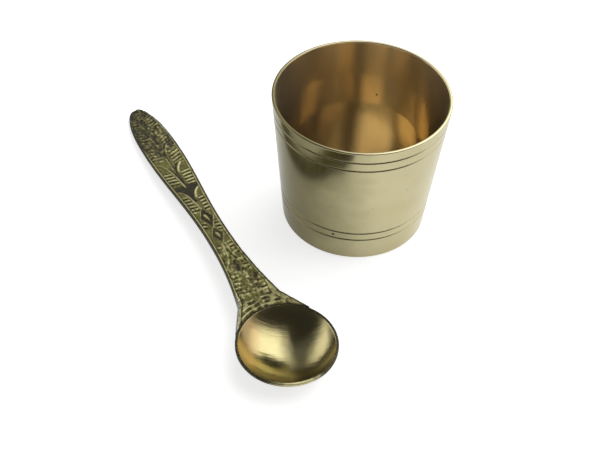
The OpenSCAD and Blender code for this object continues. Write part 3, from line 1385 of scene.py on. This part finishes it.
@dataclass(frozen=True)
class Arcs(Motif):
    """Curved ridges round the bowl, with rows of long shallow grooves between them."""

    first_r: float
    pitch: float
    count: int
    ridge_w: float
    near_pitch: float = 3.3
    far_pitch: float = 4.4
    far_start: float = 0.6
    share: float = 0.8
    high_ridges: int = 2

    ROW_FADE = 0.15
    INSIDE_EDGE = (-0.1, 0.3)

    def arc_r(self, number: int) -> float:
        """Radius of one of the ridges, counted from 0 at the bowl."""
        return self.first_r + self.pitch * number

    def carve(self, plan: Plan, level: np.ndarray) -> np.ndarray:
        """Cuts the two rows of grooves, then raises the ridges.

        Args:
            plan: The places.
            level: Their levels so far.

        Returns:
            Their levels with the grooves and the ridges.
        """
        radius = np.hypot(plan.s, plan.w)
        around = np.arctan2(plan.w, plan.s) * self.first_r
        inside = smooth_step(*self.INSIDE_EDGE, plan.field - np.abs(plan.w))
        near = (0, 1, 0.0, self.near_pitch)
        far = (1, self.count - 1, self.far_start, self.far_pitch)
        for first, last, start, pitch in (near, far):
            row = self.window(radius, self.arc_r(first), self.arc_r(last), self.ROW_FADE) * inside
            level = self.hatch(level, around + start, row * self.share, pitch)
        for i in range(self.count):
            bow = self.ridge(radius - self.arc_r(i), self.ridge_w) * inside
            level = np.maximum(level, bow * (self.RIDGE if i < self.high_ridges else self.TICK))
        return level


@dataclass
class Ornament:
    """The relief on the handle: border, leaf pairs, lozenges, oval, rosette and curved ridges."""

    form: HandleForm
    border_w: float = 0.6
    right_border_w: float = 1.0
    border_slope: float = 0.25
    border_share: float = 0.3
    border_worn: float = 0.6
    border_worn_start: Point = (100.0, 108.0)
    neck_worn: float = 0.42
    neck_worn_level: float = 0.58
    neck_worn_start: Point = (20.5, 23.0)
    neck_worn_end: Point = (75.0, 25.0)
    bowl_border_left: float = 0.7
    bowl_border_right: float = 1.5
    bowl_border_from: float = 27.0
    groove_start: float = 0.05
    groove_w: float = 0.4
    groove_fade: float = 0.12
    groove_depth: float = 0.85
    right_groove: float = 0.35
    bud_l: float = 7.0
    bud_w: float = 2.8
    bud_back: float = 6.2
    bud_shift: float = -0.5
    large_lozenge_l: float = 10.4
    small_lozenge_l: float = 8.2
    lozenge_shift: float = 2.0
    lozenge_w: float = 4.4
    small_lozenge_w: float = 3.74
    oval_l: float = 7.0
    oval_w: float = 3.0
    rosette_d: float = 5.4
    petals: int = 8
    motif_gap: float = 2.8
    arc_count: int = 3
    arc_pitch: float = 1.7
    ridge_w: float = 0.9

    def motifs(self) -> list[Motif]:
        """Places the figures from the bowl to the tip.

        Returns:
            The figures in the order of cutting.
        """
        form = self.form
        cross = form.waist_reach + self.lozenge_shift
        lozenge_end = cross - self.small_lozenge_l
        bud_at = form.reach - self.bud_back - self.bud_l / 2
        arcs = Arcs(form.lap_r + self.arc_pitch / 2, self.arc_pitch, self.arc_count, self.ridge_w)
        rosette_at = arcs.arc_r(self.arc_count - 1) + self.ridge_w + self.motif_gap + self.rosette_d / 2
        oval_at = rosette_at + self.rosette_d / 2 + self.motif_gap + self.oval_l / 2
        return [
            arcs,
            Ticks(Side.LEFT, start=22.5, end=33.5, inner=1.6),
            Ticks(Side.RIGHT, start=22.5, end=27.5, inner=2.6, pitch=1.6),
            Ticks(Side.RIGHT, start=32.5, end=38.0, inner=1.7),
            Rosette(rosette_at, self.rosette_d, self.petals, relief=0.6),
            Oval(oval_at, 0.0, self.oval_l, self.oval_w, sink=0.6, relief=0.75),
            Leaf(Side.LEFT, root=lozenge_end, tip=oval_at, ticks=(44.0, 47.0), lean=0.4, hollow=(39.0, 44.0)),
            Leaf(Side.RIGHT, root=lozenge_end, tip=oval_at, ticks=(41.0, 47.5), curve=3.0,
                 hollow=(39.0, 44.0)),
            Ticks(Side.RIGHT, start=53.4, end=59.4, inner=1.0, slant=-0.1),
            Ticks(Side.LEFT, start=56.0, end=60.0, inner=1.6, slant=0.5, pitch=1.9),
            Lozenge(lozenge_end, self.small_lozenge_l, self.small_lozenge_w),
            Lozenge(cross, self.large_lozenge_l, self.lozenge_w),
            Leaf(Side.LEFT, root=65.2, tip=78.0, ticks=(64.8, 74.2), lean=0.42, curve=6.0, stem=0.1,
                 hollow=(70.5, 80.6), hollow_w=6.0),
            Leaf(Side.RIGHT, root=65.2, tip=78.2, ticks=(64.6, 73.4), curve=4.5, stem=0.65, ridge_w=1.1,
                 ridge_from=0.65, hollow=(70.5, 80.8), hollow_w=6.0),
            Leaf(Side.LEFT, root=78.6, tip=95.5, ticks=(81.5, 89.0), lean=0.42, curve=5.3, stem=0.4,
                 hollow=(80.0, 91.0), hollow_w=0.9),
            Leaf(Side.RIGHT, root=78.6, tip=94.8, ticks=(80.6, 89.2), curve=5.4, stem=0.55, ridge_w=1.2,
                 ridge_from=0.68, hollow=(79.5, 97.0), hollow_w=1.3),
            Vein(start=89.5, end=98.0, shift=-0.1),
            Leaf(Side.LEFT, root=91.0, tip=108.0, ticks=(96.0, 104.0), lean=0.42, curve=5.3,
                 hollow=(97.0, 104.0), hollow_w=0.7, relief=0.5),
            Leaf(Side.RIGHT, root=91.0, tip=107.5, ticks=(93.5, 101.5), curve=5.0, ridge_w=1.0,
                 ridge_from=0.6, hollow=(98.0, 108.0), slant=0.5, relief=0.75),
            Leaf(Side.LEFT, root=104.0, tip=118.0, ticks=(109.0, 116.0), lean=0.4, curve=4.0,
                 hollow=(107.0, 113.0), hollow_w=2.0, relief=0.7),
            Leaf(Side.RIGHT, root=104.0, tip=117.5, ticks=(105.5, 114.0), curve=4.0, ridge_from=0.5,
                 hollow=(108.0, 117.0), slant=0.6, relief=0.5),
            Ticks(Side.RIGHT, start=117.8, end=125.5, inner=1.0, slant=0.6, share=0.65),
            Ticks(Side.LEFT, start=119.0, end=124.0, inner=2.0, share=0.5),
            Oval(bud_at, self.bud_shift, self.bud_l, self.bud_w, sink=0.5),
        ]

    def field(self, s: np.ndarray, w: np.ndarray) -> np.ndarray:
        """Gives the half width inside the border, which broadens beside the bowl.

        Args:
            s: Distances from the bowl's centre.
            w: Distances from the centre line.

        Returns:
            The half widths.
        """
        half = self.form.half_width(s)
        beside = smooth_step(self.bowl_border_from, self.form.shoulder_reach, s)
        more = np.where(w < 0, self.bowl_border_left, self.bowl_border_right)
        border = np.where(w < 0, self.border_w, self.right_border_w)
        return half - np.minimum(border, half * self.border_share) - more * beside

    def levels(self, s: np.ndarray, w: np.ndarray) -> np.ndarray:
        """Gives the whole relief.

        Args:
            s: Distances from the bowl's centre.
            w: Distances from the centre line.

        Returns:
            Levels from 0 to 1.
        """
        plan = Plan(s, w, self.field(s, w))
        level = np.full_like(s, Motif.FIELD)
        for motif in self.motifs():
            level = motif.carve(plan, level)
        neck = smooth_step(*self.neck_worn_start, np.hypot(s, w)) * smooth_step(*self.neck_worn_end, s)
        level = level + (self.neck_worn_level - level) * neck * self.neck_worn
        inward = np.minimum(plan.field - np.abs(w), self.form.reach - self.border_w - s)
        groove = Motif.window(inward, self.groove_start, self.groove_w, self.groove_fade)
        groove = groove * np.where(w < 0, 1.0, self.right_groove)
        level = level * (1 - groove * self.groove_depth)
        worn = smooth_step(*self.border_worn_start, s) * (w < 0) * self.border_worn
        return np.maximum(level, smooth_step(self.border_slope, 0.0, inward) * (1 - worn))


@dataclass(frozen=True)
class Zone:
    """A stretch of the handle over which something sets in."""

    start: float
    end: float
    share: float = 1.0

    def at(self, s: np.ndarray) -> np.ndarray:
        """Gives 0 at the stretch's start and the whole share from its end on."""
        return smooth_step(self.start, self.end, s) * self.share


@dataclass(frozen=True)
class Grain:
    """One layer of the casting's grain: lumps to a millimetre across and along, a seed and a weight."""

    across: float
    along: float
    seed: float
    weight: float


@dataclass
class Handle:
    """The cast handle: a grid wrapped round its section, with the ornament's relief, grain and wear."""

    form: HandleForm
    centre: Point
    relief_h: float = 0.5
    edge_round: float = 0.45
    # Painted shade along the edges: its width on the left and on the right, its fade, and the side walls'
    # level.
    left_edge_shade: float = 0.4
    right_edge_shade: float = 1.15
    edge_shade_fade: Point = (0.3, 1.0)
    side_level: float = 0.1
    top_cols: int = 92
    side_cols: int = 4
    under_cols: int = 8
    web_rows: int = 36
    long_rows: int = 640
    row_ease: float = 0.35

    HALF_GRID = 0.5
    GRAINS = (
        Grain(across=0.6, along=0.6, seed=1.7, weight=0.45),
        Grain(across=1.0, along=0.9, seed=5.3, weight=0.75),
        Grain(across=2.6, along=2.6, seed=9.1, weight=0.2),
    )
    COARSE = 0.25
    COARSE_NECK = Zone(48.0, 42.0, 0.55)
    COARSE_TIP = Zone(94.0, 102.0, 0.6)
    DULL_MIDDLE = Zone(58.0, 66.0, 0.12)
    DULL_TIP = Zone(95.0, 106.0)
    DULL_TIP_MEAN = 0.6
    DULL_TIP_LEAN = 0.05
    DULL_END = Zone(120.0, 127.0, 0.45)
    DULL_WEB = Zone(23.0, 19.0, 0.4)
    SHEEN_AND_BARE_EDGE = (1.3, 0.3)
    HORN_SHEEN = Zone(26.0, 20.0, 0.85)
    BARE_TIP = Zone(104.0, 110.0, 0.6)
    BARE_TIP_END = Zone(128.0, 122.0)

    def plan(self, across: np.ndarray, row: np.ndarray) -> tuple[np.ndarray, np.ndarray]:
        """Gives the place in plan of a column and a row of the handle's grid.

        Args:
            across: Columns from -1, the left edge, to 1, the right edge.
            row: Rows from 0, the crescent's end.

        Returns:
            The distances w from the centre line and s from the bowl's centre.
        """
        form = self.form
        horn = form.horn
        turn = math.acos(horn.y / form.lap_r)
        rim = 1 - 2 * Ornament.border_w / form.shoulder_w
        inner = np.clip(np.abs(across) / rim, 0.0, 1.0)
        outer = np.clip((np.abs(across) - rim) / (1 - rim), 0.0, 1.0)
        end_w = form.lap_r * np.sin(turn * inner)
        end_w = np.sign(across) * (end_w + (horn.x - end_w) * outer)
        end_s = form.lap_r * np.cos(turn * inner)
        share = np.clip(row / self.web_rows, 0.0, 1.0)
        run = np.clip((row - self.web_rows) / self.long_rows, 0.0, 1.0)
        run = run + self.row_ease * run * (1 - run)
        s = form.shoulder_reach + (form.reach - form.shoulder_reach) * run
        w = across * form.half_width(s)
        web = row < self.web_rows
        return (
            np.where(web, end_w + (across * form.shoulder_w / 2 - end_w) * share, w),
            np.where(web, end_s + (form.shoulder_reach - end_s) * share, s),
        )

    def mesh(self) -> bmesh.types.BMesh:
        """Builds the handle by wrapping a grid round its section.

        Returns:
            The closed mesh in metres, with each vertex's relief, darkened along the edges as painted shade,
            its wear, and its share of grey, partly a painted reflection, from 0 to 1.
        """
        form = self.form
        ring = self.top_cols + 2 * self.side_cols + self.under_cols
        rows = self.web_rows + self.long_rows
        bm = bmesh.new()
        bmesh.ops.create_grid(bm, x_segments=ring, y_segments=rows, size=self.HALF_GRID)
        grid = np.array([v.co for v in bm.verts])
        col = np.rint((grid[:, 0] + self.HALF_GRID) * ring)
        row = np.rint((grid[:, 1] + self.HALF_GRID) * rows)
        right = col - self.top_cols
        under = right - self.side_cols
        left = under - self.under_cols
        on_top = right <= 0
        on_right = (right > 0) & (under <= 0)
        on_under = (under > 0) & (left < 0)
        across = np.where(on_top, 2 * col / self.top_cols - 1, 1.0)
        across = np.where(on_under, 1 - 2 * under / self.under_cols, across)
        across = np.where(left >= 0, -1.0, across)
        w, s = self.plan(across, row)
        half = form.half_width(s)
        rough = np.array([self.roughness(a, b) for a, b in zip(w, s)])
        relief = np.clip(Ornament(form).levels(s, w) + rough * self.coarseness(s), 0.0, 1.0)
        top = form.top(s)
        low = form.under(s)
        past = np.clip((np.abs(w) - half + self.edge_round) / self.edge_round, 0.0, 1.0)
        fall = self.edge_round * (1 - np.sqrt(1 - past**2))
        bevel = np.minimum(form.under_bevel, half / 2)
        drop = np.where(on_right, right / self.side_cols, 1 - left / self.side_cols)
        side_z = top - fall - (top - fall - low - bevel) * drop
        z = np.where(on_top, top - self.relief_h * (1 - relief) - fall, side_z)
        z = np.where(on_under, low, z)
        w = np.where(on_under, w * (1 - bevel / np.maximum(half, TINY)), w)
        # Painted shade: the relief that the shader reads falls to the recess colour along the edges, wider on
        # the right, and the side walls take a low level, so the outline shows dark.
        outline = np.where(w < 0, self.left_edge_shade, self.right_edge_shade)
        inside = relief * smooth_step(*self.edge_shade_fade, (half - np.abs(w)) / outline)
        seat = np.where(on_top, inside, self.side_level)
        for vert, x, y, height in zip(bm.verts, w, s, z):
            vert.co = ((self.centre[0] + x) * MM, (self.centre[1] + y) * MM, height * MM)
        store(bm, "relief", seat)
        store(bm, "wear", self.wear(s, w))
        store(bm, "bare", self.bare(s, w))
        bm.verts.ensure_lookup_table()
        self.close(bm, [bm.verts[i] for i in np.argsort(col, kind="stable") if row[i] == 0])
        return bm

    def close(self, bm: bmesh.types.BMesh, first: Sequence[bmesh.types.BMVert]) -> None:
        """Joins the seam of the wrapped grid and closes its ends.

        Args:
            bm: The mesh.
            first: The vertices of the crescent's end, in order round the section.
        """
        over = first[: self.top_cols + 1]
        under = [over[0], *reversed(first[self.top_cols + 1 : -1]), over[-1]]
        bmesh.ops.weld_verts(bm, targetmap={first[-1]: first[0]})
        close_wall(bm, over, under)
        bmesh.ops.remove_doubles(bm, verts=bm.verts, dist=MERGE)
        bmesh.ops.holes_fill(bm, edges=[edge for edge in bm.edges if edge.is_boundary], sides=0)
        bmesh.ops.recalc_face_normals(bm, faces=bm.faces)

    def roughness(self, w: float, s: float) -> float:
        """Gives the grain of the casting at one place.

        Args:
            w: Distance from the centre line.
            s: Distance from the bowl's centre.

        Returns:
            The grain, about -1 to 1.
        """
        total = 0.0
        for grain in self.GRAINS:
            total += grain.weight * noise.noise(Vector((w * grain.across, s * grain.along, grain.seed)))
        return total

    def coarseness(self, s: np.ndarray) -> np.ndarray:
        """Gives the weight of the casting's grain, which is coarse on the worn neck and at the tip."""
        return self.COARSE + self.COARSE_NECK.at(s) + self.COARSE_TIP.at(s)

    def wear(self, s: np.ndarray, w: np.ndarray) -> np.ndarray:
        """Gives how worn the metal is: less at the tip and along its left edge.

        Args:
            s: Distances from the bowl's centre.
            w: Distances from the centre line.

        Returns:
            Wear from 0 to 1.
        """
        dull = self.DULL_MIDDLE.at(s) + self.DULL_END.at(s) + self.DULL_WEB.at(s)
        dull = dull + self.DULL_TIP.at(s) * (self.DULL_TIP_MEAN - self.DULL_TIP_LEAN * w)
        return np.clip(1.0 - dull, 0.0, 1.0)

    def bare(self, s: np.ndarray, w: np.ndarray) -> np.ndarray:
        """Gives where the edge turns grey: beside the bowl on the left, as a painted reflection of the pale
        surroundings, and at the tip's right, as scraped metal.

        Args:
            s: Distances from the bowl's centre.
            w: Distances from the centre line.

        Returns:
            Share of the grey from 0 to 1.
        """
        inward = self.form.half_width(s) - np.abs(w)
        # Painted reflection beside the bowl on the left; scraped metal at the tip's right.
        horn = self.HORN_SHEEN.at(s) * (w < 0)
        tip = self.BARE_TIP.at(s) * self.BARE_TIP_END.at(s) * (w > 0)
        return smooth_step(*self.SHEEN_AND_BARE_EDGE, inward) * np.maximum(horn, tip)

    def finish(self) -> Finish:
        """Dresses the handle: patina in the recesses, worn ridges with a painted highlight, painted shade
        along the edges and grey edges that are partly a painted reflection.

        Returns:
            The finish.
        """
        return AgedBrass(
            name="spoon_handle",
            # Pale ridge colour: worn metal with a painted highlight.
            ridge=srgb(220, 213, 154),
            body=srgb(140, 133, 82),
            recess=srgb(58, 50, 37),
            green=srgb(126, 131, 56),
            dark=srgb(60, 56, 45),
            # Grey: a painted reflection beside the bowl and scraped metal at the tip.
            bare=srgb(164, 166, 160),
        )


class BowlFace(IntEnum):
    """The parts of the bowl's surface, as material indices."""

    HOLLOW = 0
    LIP = 1
    OUTSIDE = 2


@dataclass
class Spoon:
    """The spoon: raised bowl, cast handle and the solder between them."""

    centre: Point
    bowl_r: float
    bowl_h: float
    handle: Handle
    wall_t: float = 0.7
    lip_t: float = 1.0
    lip_round: float = 0.38
    lip_under_round: float = 0.15
    worn_depth: float = 0.1
    solder_angle: float = 36.0
    solder_dip: float = 0.12
    solder_steps: int = 36
    bowl_steps: int = 160
    arc_steps: int = 26

    BODY = "spoon"
    LAP_GAP = 0.05
    LIP_EDGE = 0.02

    @classmethod
    def from_frame(cls) -> "Spoon":
        """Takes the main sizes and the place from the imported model.

        Returns:
            The spoon.
        """
        low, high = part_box("spoon_bowl")
        _, handle_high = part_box("spoon_handle")
        centre = ((low.x + high.x) / 2 / MM, (low.y + high.y) / 2 / MM)
        bowl_r = (high.x - low.x) / 2 / MM
        form = HandleForm(
            reach=handle_high.y / MM - centre[1],
            lap_r=bowl_r + cls.LAP_GAP,
            neck_top=handle_high.z / MM,
        )
        return cls(centre=centre, bowl_r=bowl_r, bowl_h=high.z / MM, handle=Handle(form, centre))

    @property
    def sphere_r(self) -> float:
        """Radius of the sphere that the bowl's outside is a cap of."""
        cap = self.bowl_h + self.worn_depth
        return (self.bowl_r**2 + cap**2) / (2 * cap)

    @property
    def sphere_z(self) -> float:
        """Height of that sphere's centre."""
        return self.sphere_r - self.worn_depth

    def arc(self, radius: float, start: float, end: float) -> list[Corner]:
        """Draws an arc about the centre of the bowl's sphere.

        Args:
            radius: The arc's radius.
            start: Angle of its start, from straight down.
            end: Angle of its end.

        Returns:
            Its corners, with both ends.
        """
        turns = np.linspace(start, end, self.arc_steps + 1)
        return [Corner(radius * math.sin(turn), self.sphere_z - radius * math.cos(turn)) for turn in turns]

    def bowl_profile(self) -> Profile:
        """Draws the bowl: hollow, level lip, outside and the worn flat it stands on.

        Returns:
            The profile, open at the axis.
        """
        hollow_r = self.sphere_r - self.wall_t
        mouth = math.acos((self.sphere_z - self.bowl_h) / hollow_r)
        lip_under = self.bowl_h - self.lip_t
        low = math.acos((self.sphere_z - lip_under) / self.sphere_r)
        flat = math.acos(self.sphere_z / self.sphere_r)
        inside = self.arc(hollow_r, 0.0, mouth)[:-1]
        lip = [
            Corner(hollow_r * math.sin(mouth), self.bowl_h, self.lip_round),
            Corner(self.bowl_r, self.bowl_h, self.lip_round),
            Corner(self.bowl_r, lip_under, self.lip_under_round),
        ]
        outside = self.arc(self.sphere_r, low, flat)[1:]
        return Profile([*inside, *lip, *outside, Corner(0.0, 0.0)], closed=False)

    def solder_bead(self) -> bmesh.types.BMesh:
        """Builds the solder in the corner under the lip.

        Returns:
            The closed mesh, in metres.
        """
        form = self.handle.form
        low = form.neck_top - form.neck_t
        high = self.bowl_h - self.lip_t
        rise = high - low
        wall = [math.sqrt(self.sphere_r**2 - (self.sphere_z - z) ** 2) for z in (low, low + rise / 2, high)]
        section = [
            (wall[0], low),
            ((wall[0] + form.lap_r) / 2, low + self.solder_dip),
            (form.lap_r, low),
            (form.lap_r, high),
            (wall[2], high),
            (wall[1], low + rise / 2),
        ]
        bm = bmesh.new()
        face = bm.faces.new([bm.verts.new((0.0, r * MM, z * MM)) for r, z in section])
        turn = math.radians(self.solder_angle)
        bmesh.ops.rotate(bm, verts=bm.verts, matrix=Matrix.Rotation(-turn, 3, "Z"))
        bmesh.ops.spin(bm, geom=[face], cent=ORIGIN, axis=UP, angle=2 * turn, steps=self.solder_steps)
        settle(bm, self.centre)
        return bm

    def bowl_finish(self, **fields: object) -> Finish:
        """Makes a finish with rings round the bowl's axis from the fields that differ."""
        axis = (*self.centre, 0.0)
        return TurnedBrass(turning=Turning.FACE, centre=axis, anisotropy=0.2, tarnish_waver=3.0, **fields)

    def bowl_finishes(self) -> list[Finish]:
        """Dresses the bowl: polished hollow, scuffed lip darkened by painted shade except at its front, and
        dull outside darkened partly by painted shade.

        Returns:
            The finishes in the order of the faces' indices.
        """
        hollow = self.bowl_finish(
            name="spoon_bowl",
            tone=srgb(190, 181, 134),
            stain=srgb(176, 156, 102),
            roughness=0.18,
            dent_depth=0.12,
            scratch_depth=0.04,
            tarnish=srgb(193, 167, 117),
            tarnish_side=-63.0,
            tarnish_reach=(6.5, 11.5),
        )
        lip = self.bowl_finish(
            name="spoon_bowl_lip",
            tone=srgb(214, 204, 154),
            stain=srgb(150, 148, 122),
            roughness=0.3,
            stain_size=4.0,
            speck_share=0.8,
            # Painted shade: the lip is darkened all round except at its front edge.
            tarnish=srgb(66, 62, 42),
            tarnish_side=16.0,
            tarnish_reach=(-15.4, -13.2),
            tarnish_rough=0.15,
        )
        outside = self.bowl_finish(
            name="spoon_bowl_outside",
            # Dull underside; its dark tone is partly painted shade, for the shadowed floor that it mirrors.
            tone=srgb(112, 106, 82),
            stain=srgb(82, 76, 54),
            roughness=0.38,
            stain_size=5.0,
            stain_share=0.8,
        )
        return [hollow, lip, outside]

    def build(self, solder: bpy.types.Material) -> None:
        """Builds and dresses the spoon's three pieces.

        Args:
            solder: The solder's material.
        """
        bm = spun(self.bowl_profile(), self.bowl_steps, self.centre)
        for face in bm.faces:
            middle = face.calc_center_median() / MM
            away = math.hypot(middle.x - self.centre[0], middle.y - self.centre[1])
            reach = math.hypot(away, self.sphere_z - middle.z)
            if reach < self.sphere_r - self.wall_t + self.LIP_EDGE:
                face.material_index = BowlFace.HOLLOW
            elif middle.z > self.bowl_h - self.lip_t:
                face.material_index = BowlFace.LIP
            else:
                face.material_index = BowlFace.OUTSIDE
        bowl = [finish.material() for finish in self.bowl_finishes()]
        add_piece(bm, "spoon_bowl", self.BODY, bowl)
        handle = [self.handle.finish().material()]
        add_piece(self.handle.mesh(), "spoon_handle", self.BODY, handle)
        add_piece(self.solder_bead(), "spoon_solder", self.BODY, [solder])


@dataclass(frozen=True)
class Panel:
    """A broad pale panel of the studio, cut off by planes through the object."""

    azimuth: float
    front: Point
    left: Point
    right: Point
    rise: Point
    low_glow: float
    high_glow: float


@dataclass
class Studio:
    """Floor, light and camera."""

    eye: tuple[float, float, float] = (-148.46, -239.43, 274.7)
    aim: tuple[float, float, float] = (-20.95, -0.38, 0.0)
    roll: float = 2.13
    lens: float = 67.36
    sensor: float = 36.0
    nearest: float = 10.0
    floor_size: float = 6000.0
    floor_cells: int = 8
    floor_tone: Colour = srgb(228, 228, 228)
    seen_lift: float = 0.7
    mirrored_lift: float = 0.36
    dark: float = 0.04
    far_glow: float = 0.12
    far_side: float = 18.0
    far_reach: Point = (-0.1, 0.5)
    horizon: float = 0.9
    horizon_fade: Point = (0.25, 0.05)
    panels: tuple[Panel, ...] = (
        Panel(
            azimuth=108.0,
            front=(-0.2, 0.4),
            left=(0.95, 0.75),
            right=(-0.58, -0.08),
            rise=(0.0, 0.75),
            low_glow=0.5,
            high_glow=1.95,
        ),
        Panel(
            azimuth=-38.0,
            front=(0.66, 0.94),
            left=(1.2, 1.0),
            right=(-1.2, -1.0),
            rise=(0.02, 0.25),
            low_glow=0.3,
            high_glow=1.25,
        ),
    )

    def build_floor(self) -> None:
        """Lays the pale floor, which keeps the object's shadow."""
        bm = bmesh.new()
        cells = self.floor_cells
        bmesh.ops.create_grid(bm, x_segments=cells, y_segments=cells, size=self.floor_size * MM)
        mesh = bpy.data.meshes.new("floor")
        bm.to_mesh(mesh)
        bm.free()
        floor = bpy.data.objects.new("floor", mesh)
        bpy.context.scene.collection.objects.link(floor)
        mesh.materials.append(new_material("floor", self.floor_shader))

    def floor_shader(self, tree: ShaderTree) -> bpy.types.NodeSocket:
        """Fills the floor's tree: a matt white that the eye and the metal see a little lifted.

        Args:
            tree: The material's tree.

        Returns:
            The shader's socket.
        """
        matt = tree.add("ShaderNodeBsdfDiffuse", None, {"Color": self.floor_tone})
        path = tree.add("ShaderNodeLightPath")
        seen, glossy, through = (
            Value(tree, path.outputs[f"Is {kind} Ray"]) for kind in ("Camera", "Glossy", "Transmission")
        )
        shown = seen * self.seen_lift + glossy.largest(through) * self.mirrored_lift
        lift = tree.add("ShaderNodeEmission", None, {"Color": WHITE, "Strength": shown})
        both = tree.add("ShaderNodeAddShader", None, {0: matt.outputs[0], 1: lift.outputs[0]})
        return both.outputs[0]

    def build_light(self) -> None:
        """Makes the soft surroundings: two pale panels in a dim room with a pale horizon."""
        world = bpy.data.worlds.new("studio")
        world.use_nodes = True
        bpy.context.scene.world = world
        tree = ShaderTree(world.node_tree)
        towards = tree.add("ShaderNodeTexCoord").outputs["Generated"]
        height = tree.dot(towards, Vector(UP))
        far = tree.dot(towards, direction(self.far_side))
        light = far.step(*self.far_reach) * self.far_glow + self.dark
        for panel in self.panels:
            deep = tree.dot(towards, direction(panel.azimuth))
            across = tree.dot(towards, direction(panel.azimuth - 90.0))
            mask = deep.step(*panel.front) * across.step(*panel.left) * across.step(*panel.right)
            glow = height.step(*panel.rise) * (panel.high_glow - panel.low_glow) + panel.low_glow
            light = mask * glow + light
        low = height.step(*self.horizon_fade)
        light = light * (1 - low) + low * self.horizon
        sky = tree.add("ShaderNodeBackground", None, {"Color": WHITE, "Strength": light})
        tree.add("ShaderNodeOutputWorld", None, {"Surface": sky.outputs[0]})

    def build_camera(self) -> None:
        """Sets the camera at the photograph's viewing angle."""
        data = bpy.data.cameras.new("camera")
        data.lens = self.lens
        data.sensor_width = self.sensor
        data.sensor_fit = "HORIZONTAL"
        data.clip_start = self.nearest * MM
        camera = bpy.data.objects.new("camera", data)
        bpy.context.scene.collection.objects.link(camera)
        eye = Vector(self.eye) * MM
        look = (Vector(self.aim) * MM - eye).to_track_quat("-Z", "Y").to_matrix()
        turned = look @ Matrix.Rotation(math.radians(self.roll), 3, "Z")
        camera.matrix_world = Matrix.Translation(eye) @ turned.to_4x4()
        bpy.context.scene.camera = camera

    def build(self) -> None:
        """Builds the floor, the light and the camera."""
        self.build_floor()
        self.build_light()
        self.build_camera()
        bpy.context.scene.view_settings.view_transform = "Standard"


def main() -> None:
    """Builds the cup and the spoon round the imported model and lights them."""
    logging.basicConfig(level=logging.INFO, format="%(name)s: %(message)s")
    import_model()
    solder = Solder("solder", tone=srgb(176, 172, 158), dross=srgb(120, 112, 92)).material()
    Cup.from_frame().build(solder)
    Spoon.from_frame().build(solder)
    Studio().build()


if __name__ == "__main__":
    main()
